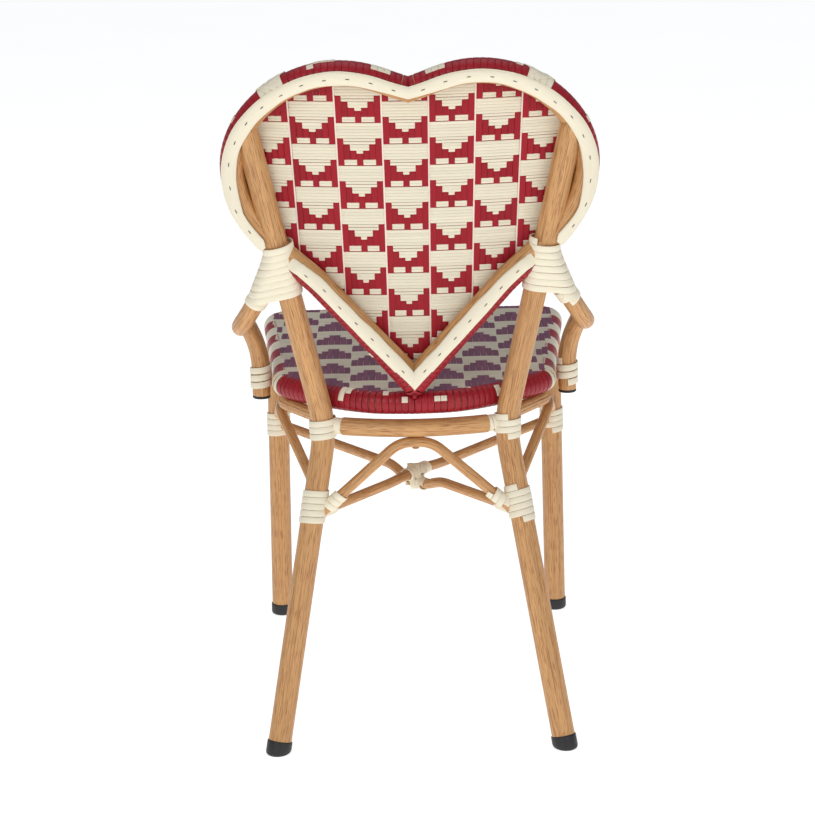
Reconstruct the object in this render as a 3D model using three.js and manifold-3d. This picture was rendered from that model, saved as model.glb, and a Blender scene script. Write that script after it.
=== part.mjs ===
// Bistro side chair with a heart-shaped woven back, on a frame of aluminium tubes with a wood-look finish.
// Millimetres, +Z up, the front of the seat towards -Y. The origin is on the floor, midway between the feet.
import * as THREE from 'three';
import { mergeVertices } from 'three/addons/utils/BufferGeometryUtils.js';
import { ConvexGeometry } from 'three/addons/geometries/ConvexGeometry.js';
import Module from 'manifold-3d';

const wasm = await Module();
wasm.setup();

// Tubes
const MAIN_TUBE = 29;
const MAIN_WALL = 1.5;
const STAY_TUBE = 23;
const STAY_WALL = 1.5;
const STAY_BORE = 16;
const RAIL_TUBE = 22.6;
const BRACE_TUBE = 13;
const RING_TUBE = 24;
const HOOP_TUBE = 17;

// Fits
const GAP = 0.3;
const MIDDLE_LAP = 0.2;
const OVERRUN = 60;
const REACH = 360;

// Height of the seat, from which the joints of the frame are measured down or up
const SEAT_TOP_Z = 442;

// Facets of the round forms and steps of the bent ones
const TUBE_SIDES = 10;
const RAIL_SIDES = 10;
const HOOP_SIDES = 10;
const BRACE_SIDES = 10;
const PLUG_SIDES = 10;
const HEART_SIDES = 8;
const STAY_SIDES = 8;
const RING_SIDES = 8;
const SPIGOT_SIDES = 8;
const SCREW_SIDES = 8;
const BEND_STEPS = 3;
const RAIL_STEPS = 6;
const HEART_SIDE_STEPS = 5;
const HEART_LOBE_STEPS = 6;
const HEART_CLEFT_STEPS = 3;
const PANEL_STEPS = 8;
const SEAT_CORNER_STEPS = 4;
const SEAT_SIDE_STEPS = 11;
const LOOP_STEPS = 12;

// Feet and legs
const REAR_FOOT_X = 179;
const REAR_FOOT_Y = 257;
const FRONT_FOOT_X = 194.5;
const FRONT_TOP_X = 189.8;
const FRONT_LEG_Y = -254.5;
const KNEE_X = 111.5;
const KNEE_Y = 162;
const KNEE_DROP = 48.5;
const KNEE_BEND = 34;
const CAP_HEIGHT = 12;
const CAP_FLOOR = 3;
const CAP_WALL = 1.1;
const CAP_SPIGOT = 16;

// Back, measured up its slope from the knees of the posts
const BACK_LEAN = 7;
const BACK_BOW_RADIUS = 900;
const BACK_BOW = 15;
const POST_START_X = 110.8;
const POST_CROSS_X = 154.5;
const POST_CROSS_V = 200;
const POST_CROSS_OUT = 2.6;
const POST_TOP_X = 196;
const POST_TOP_V = 390;
const POST_TOP_OUT = -5.9;
const HEART_SPLIT_INSET = 4.5;
const HEART_TIP_V = 71;
const HEART_SIDE_X = 108;
const HEART_SIDE_V = 190.5;
const HEART_WIDE_X = 212.5;
const HEART_WIDE_V = 337;
const HEART_TOP_X = 81;
const HEART_TOP_V = 456.5;
const HEART_CLEFT_V = 436;
const HEART_SIDE_HANDLE = 45;
const HEART_WIDE_HANDLE = 76;
const HEART_LOBE_HANDLE = 60;
const HEART_TOP_HANDLE = 68;
const HEART_CLEFT_HANDLE = 32;
const HEART_CLEFT_RISE = 10;

// Woven covers
const WEAVE = 3;
const BACK_WRAP_INSET = 5;
const TRIM_THICKNESS = 1.4;
const TRIM_WIDTH = 22;

// Seat
const SEAT_FRONT_Y = -274.1;
const SEAT_CORNER = 47;
const SEAT_FRONT_X = 206;
const SEAT_WAIST_X = 190;
const SEAT_WAIST_Y = -57;
const SEAT_HIP_X = 180.6;
const SEAT_HIP_Y = 42;
const SEAT_REAR_X = 175;
const SEAT_REAR_Y = 92;
const SEAT_SHOULDER_X = 118;
const SEAT_SHOULDER_Y = 148;
const SEAT_BACK_X = 58;
const SEAT_BACK_Y = 182;
const SEAT_END_Y = 189.5;
const SEAT_WELL_INSET = 24;
const SEAT_ROUNDING = 12;
const HOOP_END_X = 116;
const HOOP_END_Y = 152;

// Rear rail, arches and cross braces
const RAIL_DROP = 46;
const RAIL_BOW_Y = 182;
const RAIL_END_Y = 168;
const RAIL_END_X = 89;
const RAIL_NOSE = 4;
const RAIL_SPIGOT = 14;
const ARCH_FLAT_X = 20;
const ARCH_BEND = 16;
const REAR_ARCH_FOOT_DROP = 162;
const SIDE_ARCH_FOOT_DROP = 124;
const SIDE_ARCH_X = 172;
const SIDE_ARCH_REAR_Y = 62;
const SIDE_ARCH_FRONT_Y = 26;
const FRONT_ARCH_FOOT_DROP = 148;
const CROSS_REAR_DROP = 154;
const CROSS_FRONT_DROP = 161;
const CROSS_RISE = 2.5;
const CROSS_DIP_SHARE = 0.05;
const SCREW_HEAD = 9;
const SCREW_HEIGHT = 2.4;
const SCREW_SHANK = 3.4;
const SCREW_BITE = 6;

// Side stays, from the post down to the side of the seat
const STAY_ROOT_V = 214;
const STAY_NECK_X = 189;
const STAY_NECK_V = 175;
const STAY_ELBOW_X = 215;
const STAY_ELBOW_Y = 146;
const STAY_ELBOW_RISE = 75;
const STAY_TURN_X = 213;
const STAY_TURN_Y = 64;
const STAY_TURN_RISE = 68;
const STAY_STRAIGHT_RISE = 30;
const STAY_BEND = 18;
const STAY_ROOT_EASE = 3.6;
const STAY_END_Y = 45;
const STAY_END_DROP = 37;
const PLUG_THICKNESS = 3;
const PLUG_SPIGOT = 10;

// Bindings of flat strip
const STRIP = 7.4;
const STRIP_THICKNESS = 1.6;
const STRIP_PITCH = 8.2;
const BEND_EASE = 1.2;
const POST_BINDING_LOOPS = 8;
const STAY_BINDING_DROP = 16;
const STAY_BINDING_LOOPS = 3;
const RAIL_BINDING_LOOPS = 3;
const REAR_BINDING_DROP = 144;
const REAR_BINDING_LOOPS = 5;
const FRONT_BINDING_DROP = 159;
const FRONT_BINDING_LOOPS = 4;
const CROSS_BINDING_LOOPS = 4;
const CROSS_BINDING_SPREAD = 9;
const END_BINDING_REACH = 37;
const END_BINDING_LOOPS = 2;

// Colours and finishes
const material = (name, color, roughness, metalness = 0) =>
  new THREE.MeshStandardMaterial({ name, color, roughness, metalness });
const WOOD_LOOK = 0xc8955f;
const CREAM = 0xebe3cb;
const RED = 0xa33338;
const BLACK = 0x1c1c1e;
const STEEL = 0xb98d6b;

const insideFit = (radius, sideCount) => radius * Math.cos(Math.PI / sideCount) - GAP;
const outsideFit = (radius, sideCount) => (radius + GAP) / Math.cos(Math.PI / sideCount);

const chair = new THREE.Group();
const mainRadius = MAIN_TUBE / 2;
const stayRadius = STAY_TUBE / 2;
const railRadius = RAIL_TUBE / 2;
const braceRadius = BRACE_TUBE / 2;
const ringRadius = RING_TUBE / 2;
const hoopRadius = HOOP_TUBE / 2;
const coverRadius = mainRadius + WEAVE;
const seatCover = ringRadius + WEAVE;
const kneeZ = SEAT_TOP_Z - KNEE_DROP;
const railZ = SEAT_TOP_Z - RAIL_DROP;
const crossRearZ = SEAT_TOP_Z - CROSS_REAR_DROP;
const crossFrontZ = SEAT_TOP_Z - CROSS_FRONT_DROP;
// The heart tube is in two lengths on each side, which meet just inside the top of the post binding
const heartSplitV = POST_CROSS_V + (POST_BINDING_LOOPS * STRIP_PITCH + STRIP) / 2 - HEART_SPLIT_INSET;
const lean = THREE.MathUtils.degToRad(BACK_LEAN);
const vec = (x, y, z) => new THREE.Vector3(x, y, z);
const mirrored = (points, side) => points.map((p) => vec(p.x * side, p.y, p.z));

// A route of straight stretches through chosen stations, one ring of the tube at each station
class Route extends THREE.Curve {
  constructor(stations, up = null) {
    super();
    this.stations = stations;
    this.up = up;
  }
  getPoint(t, target = new THREE.Vector3()) {
    const at = t * (this.stations.length - 1);
    const i = Math.min(Math.floor(at), this.stations.length - 2);
    return target.lerpVectors(this.stations[i], this.stations[i + 1], at - i);
  }
  getPointAt(t, target) {
    return this.getPoint(t, target);
  }
  getTangentAt(t, target = new THREE.Vector3()) {
    const i = Math.round(t * (this.stations.length - 1));
    const leg = (k) => this.stations[k + 1].clone().sub(this.stations[k]).normalize();
    const last = this.stations.length - 2;
    return target.copy(leg(Math.max(i - 1, 0))).add(leg(Math.min(i, last))).normalize();
  }
  computeFrenetFrames(segments, closed) {
    if (!this.up) return super.computeFrenetFrames(segments, closed);
    const frames = { tangents: [], normals: [], binormals: [] };
    for (let i = 0; i <= segments; i++) {
      const tangent = this.getTangentAt(i / segments);
      const normal = this.up(i / segments).projectOnPlane(tangent).normalize();
      frames.tangents.push(tangent);
      frames.normals.push(normal);
      frames.binormals.push(tangent.clone().cross(normal));
    }
    return frames;
  }
}

// The curve that rounds a corner of a line, from a bend's length before it to as far after it
function bendCurve(corners, i, bend) {
  const before = corners[i - 1].clone().sub(corners[i]).setLength(bend).add(corners[i]);
  const after = corners[i + 1].clone().sub(corners[i]).setLength(bend).add(corners[i]);
  return new THREE.QuadraticBezierCurve3(before, corners[i], after);
}

function bentStations(corners, bend) {
  const bends = corners.slice(1, -1).map((_, i) => bendCurve(corners, i + 1, bend).getPoints(BEND_STEPS));
  return [corners[0].clone(), ...bends.flat(), corners[corners.length - 1].clone()];
}

function bendMiddle(corners, i, bend) {
  const curve = bendCurve(corners, i, bend);
  return { point: curve.getPoint(0.5), run: curve.v2.clone().sub(curve.v0).normalize() };
}

function closedBody(geometry) {
  geometry.deleteAttribute('normal');
  geometry.deleteAttribute('uv');
  return mergeVertices(geometry);
}

function discShape(radius, boreRadius = 0) {
  const shape = new THREE.Shape();
  shape.absarc(0, 0, radius, 0, 2 * Math.PI);
  if (boreRadius) {
    const bore = new THREE.Path();
    bore.absarc(0, 0, boreRadius, 0, 2 * Math.PI, true);
    shape.holes.push(bore);
  }
  return shape;
}

function tube(stations, radius, sideCount, boreRadius = 0) {
  return closedBody(new THREE.ExtrudeGeometry(discShape(radius, boreRadius), {
    steps: stations.length - 1, curveSegments: sideCount / 2, bevelEnabled: false,
    extrudePath: new Route(stations),
  }));
}

function solid(geometry) {
  const merged = geometry.index && !geometry.attributes.normal ? geometry : closedBody(geometry);
  return new wasm.Manifold(new wasm.Mesh({
    numProp: 3,
    vertProperties: new Float32Array(merged.attributes.position.array),
    triVerts: new Uint32Array(merged.index.array),
  }));
}

function toGeometry(body) {
  const mesh = body.getMesh();
  const geometry = new THREE.BufferGeometry();
  geometry.setAttribute('position', new THREE.BufferAttribute(new Float32Array(mesh.vertProperties), 3));
  geometry.setIndex(new THREE.BufferAttribute(new Uint32Array(mesh.triVerts), 1));
  return geometry;
}

const cut = (body, ...tools) => tools.reduce((left, tool) => left.subtract(tool), body);
const join = (first, ...others) => others.reduce((sum, other) => sum.add(other), first);

function block(x0, x1, y0, y1, z0, z1) {
  const geometry = new THREE.BoxGeometry(x1 - x0, y1 - y0, z1 - z0);
  geometry.translate((x0 + x1) / 2, (y0 + y1) / 2, (z0 + z1) / 2);
  return solid(geometry);
}

function put(parent, name, geometry, finish) {
  const mesh = new THREE.Mesh(geometry, finish);
  mesh.name = name;
  parent.add(mesh);
  return mesh;
}

const bothSides = [['left', 1], ['right', -1]];
const woodLook = material('wood_look_aluminium', WOOD_LOOK, 0.45);
const creamStrip = material('cream_polyethylene', CREAM, 0.5);
const redWeave = material('red_and_cream_weave', RED, 0.35);
const blackNylon = material('black_nylon', BLACK, 0.5);
const zincSteel = material('coated_steel', STEEL, 0.4, 0.8);

// The back has its own frame: x across, y out through its rear face and z up its slope
const back = new THREE.Group();
back.position.set(0, KNEE_Y, kneeZ);
back.rotation.x = -lean;
chair.add(back);
back.updateMatrixWorld();
const fromBack = (p) => p.clone().applyMatrix4(back.matrixWorld);
const bow = (x) => BACK_BOW - x * x / (2 * BACK_BOW_RADIUS);

// Posts and rear legs, one bent tube on each side
const legTop = vec(KNEE_X, KNEE_Y, kneeZ);
const rearFoot = vec(REAR_FOOT_X, REAR_FOOT_Y, 0);
const legAxis = rearFoot.clone().sub(legTop).normalize();
const legAt = (z) => legTop.clone().addScaledVector(legAxis, (kneeZ - z) / -legAxis.z);
const postUpper = [
  vec(POST_CROSS_X, POST_CROSS_OUT, POST_CROSS_V),
  vec(POST_TOP_X, POST_TOP_OUT, POST_TOP_V),
];
const postLineX = (v) => POST_START_X + (POST_CROSS_X - POST_START_X) * v / POST_CROSS_V;
const postLineOut = (v) => POST_CROSS_OUT * v / POST_CROSS_V;
const capSeat = (axis) => CAP_FLOOR
  + (outsideFit(mainRadius, TUBE_SIDES) + CAP_WALL) * Math.hypot(axis.x, axis.y);
const alongLeg = (foot, axis, distance) => foot.clone().addScaledVector(axis, -distance);
const postCorners = [alongLeg(rearFoot, legAxis, capSeat(legAxis) + GAP), legTop, ...postUpper.map(fromBack)];
const postStations = bentStations(postCorners, KNEE_BEND);
const knee = bendMiddle(postCorners, 1, KNEE_BEND);
const crossing = bendMiddle(postCorners, 2, KNEE_BEND);

// Heart centre line, right half in x and v, from the tip up the side, over the lobe and down to the cleft
const flat = (x, v) => new THREE.Vector2(x, v);
const tip = flat(0, HEART_TIP_V);
const side = flat(HEART_SIDE_X, HEART_SIDE_V);
const widest = flat(HEART_WIDE_X, HEART_WIDE_V);
const lobeTop = flat(HEART_TOP_X, HEART_TOP_V);
const cleft = flat(0, HEART_CLEFT_V);
const slope = side.clone().sub(tip).normalize();
const sideCurve = new THREE.CubicBezierCurve(side, side.clone().addScaledVector(slope, HEART_SIDE_HANDLE),
  flat(widest.x, widest.y - HEART_WIDE_HANDLE), widest);
const lobeCurve = new THREE.CubicBezierCurve(widest, flat(widest.x, widest.y + HEART_LOBE_HANDLE),
  flat(lobeTop.x + HEART_TOP_HANDLE, lobeTop.y), lobeTop);
const cleftCurve = new THREE.CubicBezierCurve(
  lobeTop, flat(lobeTop.x - HEART_CLEFT_HANDLE, lobeTop.y),
  flat(HEART_CLEFT_HANDLE, cleft.y + HEART_CLEFT_RISE), cleft);
const halfHeart = [
  tip, side,
  ...sideCurve.getPoints(HEART_SIDE_STEPS).slice(1),
  ...lobeCurve.getPoints(HEART_LOBE_STEPS).slice(1),
  ...cleftCurve.getPoints(HEART_CLEFT_STEPS).slice(1),
];
const beyond = (from, to) => to.clone().add(to.clone().sub(from).setLength(coverRadius * 2));

// The half line runs past the middle at both ends, so that a cut at the middle leaves a mitre
const heartLine = [
  beyond(halfHeart[1], halfHeart[0]),
  ...halfHeart,
  beyond(halfHeart[halfHeart.length - 2], halfHeart[halfHeart.length - 1]),
].map((p) => vec(p.x, bow(Math.max(p.x, 0)), p.y));

// Outline of the whole heart, moved in or out from its centre line
function heartOutline(offset) {
  const out = halfHeart.map((p, i) => {
    const a = halfHeart[Math.max(i - 1, 0)];
    const b = halfHeart[Math.min(i + 1, halfHeart.length - 1)];
    const d = b.clone().sub(a).normalize();
    return flat(p.x + d.y * offset, p.y - d.x * offset);
  });
  const mitre = (p, q) => {
    const d = q.clone().sub(p);
    return flat(0, p.y - p.x * d.y / d.x);
  };
  const kept = out.slice(1, -1).filter((p) => p.x > 0);
  const first = mitre(kept[0], kept[1]);
  const last = mitre(kept[kept.length - 1], kept[kept.length - 2]);
  const half = [first, ...kept, last];
  const other = kept.slice().reverse().map((p) => flat(-p.x, p.y));
  return [...half, ...other];
}

// A prism through the back, with the outline of the heart
function heartPrism(offset) {
  const geometry = new THREE.ExtrudeGeometry(new THREE.Shape(heartOutline(offset)), {
    depth: 2 * OVERRUN, bevelEnabled: false,
  });
  geometry.rotateX(Math.PI / 2);
  geometry.translate(0, OVERRUN, 0);
  return solid(geometry);
}

// A layer parallel to the bowed face of the back, from one depth to another
function backLayer(from, to) {
  const reach = HEART_WIDE_X + OVERRUN;
  const across = Array.from({ length: PANEL_STEPS + 1 }, (_, i) => reach * (2 * i / PANEL_STEPS - 1));
  const near = across.map((x) => flat(x, bow(x) + from));
  const far = across.map((x) => flat(x, bow(x) + to)).reverse();
  return solid(new THREE.ExtrudeGeometry(new THREE.Shape([...near, ...far]), {
    depth: HEART_TOP_V + OVERRUN, bevelEnabled: false,
  }));
}

// A point on the line of a loop. A loop round one circle has even steps, and a loop round two circles has
// half of its steps on each, so that it runs straight from one to the other
function loopPoint(step, a, b, radiusA, radiusB) {
  const k = step % LOOP_STEPS;
  const half = LOOP_STEPS / 2;
  const apart = a.distanceTo(b);
  if (apart === 0) {
    const angle = 2 * Math.PI * k / LOOP_STEPS - Math.PI / 2;
    return { at: flat(a.x + radiusA * Math.cos(angle), a.y + radiusA * Math.sin(angle)), angle };
  }
  const heading = Math.atan2(b.y - a.y, b.x - a.x);
  const touch = Math.acos((radiusA - radiusB) / apart);
  const onB = k < half;
  const from = onB ? -touch : touch;
  const sweep = onB ? 2 * touch : 2 * (Math.PI - touch);
  const angle = heading + from + sweep * (k % half) / (half - 1);
  const [centre, radius] = onB ? [b, radiusB] : [a, radiusA];
  return { at: flat(centre.x + radius * Math.cos(angle), centre.y + radius * Math.sin(angle)), angle };
}

let leastGap = Infinity;
function winding(loops, place) {
  const count = loops * LOOP_STEPS;
  const middle = (count - 1) / 2;
  const centreLine = [];
  const outward = [];
  for (let i = 0; i < count; i++) {
    const height = (i - middle) / LOOP_STEPS * STRIP_PITCH;
    const { point, out } = place(i, height);
    centreLine.push(point);
    outward.push(out);
  }
  const straight = (p, q) => p.clone().add(p.clone().sub(q).setLength(STRIP_THICKNESS));
  const stations = [straight(centreLine[0], centreLine[1]), ...centreLine,
    straight(centreLine[count - 1], centreLine[count - 2])];
  const outs = [outward[0], ...outward, outward[count - 1]];
  const route = new Route(stations, (t) => outs[Math.round(t * (stations.length - 1))].clone());
  const w = STRIP / 2;
  const h = STRIP_THICKNESS / 2;
  const section = new THREE.Shape([flat(-h, -w), flat(h, -w), flat(h, w), flat(-h, w)]);
  for (let i = 0; i < centreLine.length - LOOP_STEPS; i++) {
    leastGap = Math.min(leastGap, centreLine[i].distanceTo(centreLine[i + LOOP_STEPS]) - STRIP);
  }
  return closedBody(new THREE.ExtrudeGeometry(section, {
    steps: stations.length - 1, bevelEnabled: false, extrudePath: route,
  }));
}

const loopRadius = (radius) => outsideFit(radius, LOOP_STEPS - 2) + STRIP_THICKNESS / 2;

// A binding round one or two parallel members: axis points up, a and b give the two centres at a height
function bindingPlace(origin, axis, across, centreA, centreB, radiusA, radiusB) {
  const up = axis.clone().normalize();
  const x = across.clone().projectOnPlane(up).normalize();
  const y = up.clone().cross(x);
  return (step, height) => {
    const a = centreA(height);
    const b = centreB(height);
    const { at, angle } = loopPoint(step, a, b, loopRadius(radiusA(height)), loopRadius(radiusB(height)));
    const point = origin.clone().addScaledVector(up, height);
    point.addScaledVector(x, at.x).addScaledVector(y, at.y);
    const out = x.clone().multiplyScalar(Math.cos(angle)).addScaledVector(y, Math.sin(angle));
    return { point, out };
  };
}
const fixed = (value) => () => value;

// Seat ring: centre line of the tube that the woven seat is wrapped on
const seatHalf = [
  flat(0, SEAT_FRONT_Y),
  flat(SEAT_FRONT_X - SEAT_CORNER, SEAT_FRONT_Y),
  ...new THREE.QuadraticBezierCurve(flat(SEAT_FRONT_X - SEAT_CORNER, SEAT_FRONT_Y),
    flat(SEAT_FRONT_X, SEAT_FRONT_Y), flat(SEAT_FRONT_X, SEAT_FRONT_Y + SEAT_CORNER))
    .getPoints(SEAT_CORNER_STEPS).slice(1),
  ...new THREE.SplineCurve([flat(SEAT_FRONT_X, SEAT_FRONT_Y + SEAT_CORNER), flat(SEAT_WAIST_X, SEAT_WAIST_Y),
    flat(SEAT_HIP_X, SEAT_HIP_Y), flat(SEAT_REAR_X, SEAT_REAR_Y), flat(SEAT_SHOULDER_X, SEAT_SHOULDER_Y),
    flat(SEAT_BACK_X, SEAT_BACK_Y), flat(0, SEAT_END_Y)]).getPoints(SEAT_SIDE_STEPS).slice(1),
];
function seatOutline(insetBy) {
  return seatHalf.map((p, i) => {
    if (i === 0) return flat(0, p.y + insetBy);
    if (i === seatHalf.length - 1) return flat(0, p.y - insetBy);
    const d = seatHalf[i + 1].clone().sub(seatHalf[i - 1]).normalize();
    return flat(p.x - d.y * insetBy, p.y + d.x * insetBy);
  });
}
const ringZ = SEAT_TOP_Z - seatCover;
const hoopZ = ringZ - seatCover - GAP - hoopRadius;
const ringHalf = seatOutline(seatCover);
const ringStations = (flip) => ringHalf.map((p) => vec(p.x * flip, p.y, ringZ));
const hoopHalf = [...ringHalf.filter((p) => p.y < SEAT_REAR_Y), flat(HOOP_END_X, HOOP_END_Y)];
const hoopStations = [...hoopHalf.slice(1).reverse().map((p) => vec(-p.x, p.y, hoopZ)),
  ...hoopHalf.map((p) => vec(p.x, p.y, hoopZ))];
const hoopTube = (radius) => solid(tube(hoopStations, radius, HOOP_SIDES));

// Posts
const post = (flip, radius, bore = 0) => tube(mirrored(postStations, flip), radius, TUBE_SIDES, bore);
const postRoom = (flip) => post(flip, mainRadius + GAP);
const intoBack = back.matrixWorld.clone().invert();
const postFromBack = (flip) => solid(postRoom(flip).applyMatrix4(intoBack));
const heartTube = (flip, radius) => tube(mirrored(heartLine, flip), radius, HEART_SIDES);

// Stay centre line, rooted on the post under the binding
const stayRoot = vec(postLineX(STAY_ROOT_V), postLineOut(STAY_ROOT_V), STAY_ROOT_V);
const stayEndX = SEAT_HIP_X + GAP + STRIP_THICKNESS + outsideFit(stayRadius + BEND_EASE, LOOP_STEPS - 2);
const stayNeck = vec(STAY_NECK_X, postLineOut(STAY_NECK_V), STAY_NECK_V);
const stayStations = bentStations([
  fromBack(stayRoot),
  fromBack(stayNeck),
  vec(STAY_ELBOW_X, STAY_ELBOW_Y, SEAT_TOP_Z + STAY_ELBOW_RISE),
  vec(STAY_TURN_X, STAY_TURN_Y, SEAT_TOP_Z + STAY_TURN_RISE),
  vec(stayEndX, STAY_END_Y, SEAT_TOP_Z + STAY_STRAIGHT_RISE),
  vec(stayEndX, STAY_END_Y, SEAT_TOP_Z - STAY_END_DROP),
], STAY_BEND);

// Post bindings: round the post and the stay, which leaves the post at a slant
const neckReach = STAY_NECK_X - postLineX(STAY_NECK_V) + stayRadius - mainRadius;
const postBindingPlace = (flip) => {
  const top = (POST_BINDING_LOOPS * STRIP_PITCH + STRIP) / 2;
  const spread = (height) => neckReach * (top + GAP - height) / (top + POST_CROSS_V - STAY_NECK_V);
  const radius = fixed(mainRadius + BEND_EASE);
  return bindingPlace(mirrored([crossing.point], flip)[0], mirrored([crossing.run], flip)[0], vec(flip, 0, 0),
    fixed(flat(0, 0)), (height) => flat(spread(height), 0), radius, radius);
};
const hullOf = (place, loops, offset = STRIP_THICKNESS / 2 + 2 * GAP, overrun = GAP) => {
  const points = [];
  const half = (loops * STRIP_PITCH + STRIP) / 2 + overrun;
  for (const height of [-half, -half / 2, 0, half / 2, half]) {
    for (let i = 0; i < LOOP_STEPS; i++) {
      const { point, out } = place(i, height);
      points.push(point.clone().addScaledVector(out, offset));
    }
  }
  return solid(new ConvexGeometry(points));
};
const postBindingRoom = (flip) => solid(
  toGeometry(hullOf(postBindingPlace(flip), POST_BINDING_LOOPS, STRIP_THICKNESS / 2 + 3 * GAP))
    .applyMatrix4(intoBack));

// What lies outside the heart above its lower sides, where the posts have to stop
const above = (v) => block(-REACH, REACH, -OVERRUN, OVERRUN, v, HEART_TOP_V + OVERRUN);
const below = (v) => block(-REACH, REACH, -OVERRUN, OVERRUN, -OVERRUN, v);
const outsideHeart = cut(above(HEART_WIDE_V), heartPrism(0));
const beyondHeart = solid(toGeometry(outsideHeart).applyMatrix4(back.matrixWorld));

// Build the posts, their caps and the front legs
const underFloor = block(-REACH, REACH, -REACH, REACH, -OVERRUN, 0);

function footCap(foot, axis) {
  const bore = outsideFit(mainRadius, TUBE_SIDES);
  const outer = bore + CAP_WALL;
  const inner = insideFit(mainRadius - MAIN_WALL, TUBE_SIDES);
  const seat = capSeat(axis);
  const drop = seat - CAP_FLOOR;
  const profile = [flat(0, -drop * 2), flat(outer, -drop * 2), flat(outer, CAP_HEIGHT + drop),
    flat(bore, CAP_HEIGHT + drop), flat(bore, seat), flat(inner, seat),
    flat(inner, seat + CAP_SPIGOT), flat(0, seat + CAP_SPIGOT)];
  const geometry = new THREE.LatheGeometry(profile, TUBE_SIDES);
  geometry.rotateX(Math.PI / 2);
  const turn = new THREE.Quaternion().setFromUnitVectors(vec(0, 0, 1), axis.clone().negate());
  geometry.applyQuaternion(turn);
  geometry.translate(foot.x, foot.y, 0);
  return toGeometry(cut(solid(geometry), underFloor));
}

const frontFoot = vec(FRONT_FOOT_X, FRONT_LEG_Y, 0);
const frontTop = vec(FRONT_TOP_X, FRONT_LEG_Y, hoopZ);
const frontAxis = frontFoot.clone().sub(frontTop).normalize();
const rearCap = footCap(rearFoot, legAxis);
const frontCap = footCap(frontFoot, frontAxis);
const frontEnd = alongLeg(frontFoot, frontAxis, capSeat(frontAxis) + GAP);
const frontAt = (z) => frontTop.clone().addScaledVector(frontAxis, (frontTop.z - z) / -frontAxis.z);
const flipX = (geometry) => {
  const copy = geometry.clone();
  copy.scale(-1, 1, 1);
  const index = copy.index.array;
  for (let i = 0; i < index.length; i += 3) [index[i], index[i + 1]] = [index[i + 1], index[i]];
  return copy;
};

for (const [name, flip] of bothSides) {
  const postTube = solid(post(flip, mainRadius, mainRadius - MAIN_WALL));
  const heartRoom = solid(heartTube(flip, mainRadius + GAP).applyMatrix4(back.matrixWorld));
  put(chair, `rear_post_${name}`, toGeometry(cut(postTube, heartRoom, beyondHeart)), woodLook);
  put(chair, `rear_foot_cap_${name}`, flip > 0 ? rearCap : flipX(rearCap), blackNylon);
  const legLine = mirrored([frontEnd, frontTop], flip);
  const legTube = solid(tube(legLine, mainRadius, TUBE_SIDES, mainRadius - MAIN_WALL));
  put(chair, `front_leg_${name}`, toGeometry(cut(legTube, hoopTube(hoopRadius + GAP))), woodLook);
  put(chair, `front_foot_cap_${name}`, flip > 0 ? frontCap : flipX(frontCap), blackNylon);
}

// Where the seat is, as seen from the back: the tip of the heart is cut level just over it
const seatBelow = solid(toGeometry(block(-SEAT_FRONT_X, SEAT_FRONT_X, SEAT_FRONT_Y, REAR_FOOT_Y,
  0, SEAT_TOP_Z + GAP)).applyMatrix4(intoBack));

// Heart frame: a lobe and a straight side on each half, coped to the post and mitred in the middle
const halfSpace = (flip, gap) => (flip > 0
  ? block(gap / 2, REACH, -REACH, REACH, -OVERRUN, REACH + SEAT_TOP_Z)
  : block(-REACH, -gap / 2, -REACH, REACH, -OVERRUN, REACH + SEAT_TOP_Z));
for (const [name, flip] of bothSides) {
  const whole = solid(heartTube(flip, mainRadius)).intersect(halfSpace(flip, GAP));
  const open = cut(whole, postBindingRoom(flip), seatBelow);
  put(back, `heart_lobe_${name}`, toGeometry(open.intersect(above(heartSplitV + GAP / 2))), woodLook);
  put(back, `heart_side_${name}`, toGeometry(open.intersect(below(heartSplitV - GAP / 2))), woodLook);
}

// Woven back: a bowed panel over the front of the heart, whose edge rolls round the outside of the tube
const wholeHeart = (radius) => join(...[1, -1].map(
  (flip) => solid(heartTube(flip, radius)).intersect(halfSpace(flip, -MIDDLE_LAP))));
const panel = heartPrism(0).intersect(backLayer(-coverRadius, -mainRadius - GAP));
const hollow = heartPrism(-BACK_WRAP_INSET).intersect(backLayer(-mainRadius - GAP, OVERRUN));
const aroundHeart = [postFromBack(1), postFromBack(-1), postBindingRoom(1), postBindingRoom(-1), seatBelow];
const backCover = join(wholeHeart(coverRadius), panel);
const backWeave = cut(backCover, wholeHeart(mainRadius + GAP), hollow, ...aroundHeart);
put(back, 'back_weave', toGeometry(backWeave), redWeave);

// Cream trim that covers the cut ends of the weave on the rear face
const trimSection = (() => {
  const spread = Math.asin(TRIM_WIDTH / 2 / coverRadius);
  const inner = coverRadius + GAP;
  const arc = (radius, from, to) => new THREE.Path().absarc(0, 0, radius, from, to, from > to).getPoints(2);
  return new THREE.Shape([...arc(inner + TRIM_THICKNESS, -spread, spread), ...arc(inner, spread, -spread)]);
})();
const trimHalf = (flip) => {
  const line = mirrored(heartLine, flip);
  const route = new Route(line, () => vec(0, 1, 0));
  return solid(new THREE.ExtrudeGeometry(trimSection, {
    steps: line.length - 1, bevelEnabled: false, extrudePath: route,
  }));
};
const wholeTrim = join(...[1, -1].map((flip) => trimHalf(flip).intersect(halfSpace(flip, -MIDDLE_LAP))));
const trim = cut(wholeTrim, ...aroundHeart);
put(back, 'back_trim_upper', toGeometry(trim.intersect(above(heartSplitV + GAP / 2))), creamStrip);
put(back, 'back_trim_lower', toGeometry(trim.intersect(below(heartSplitV - GAP / 2))), creamStrip);

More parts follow.
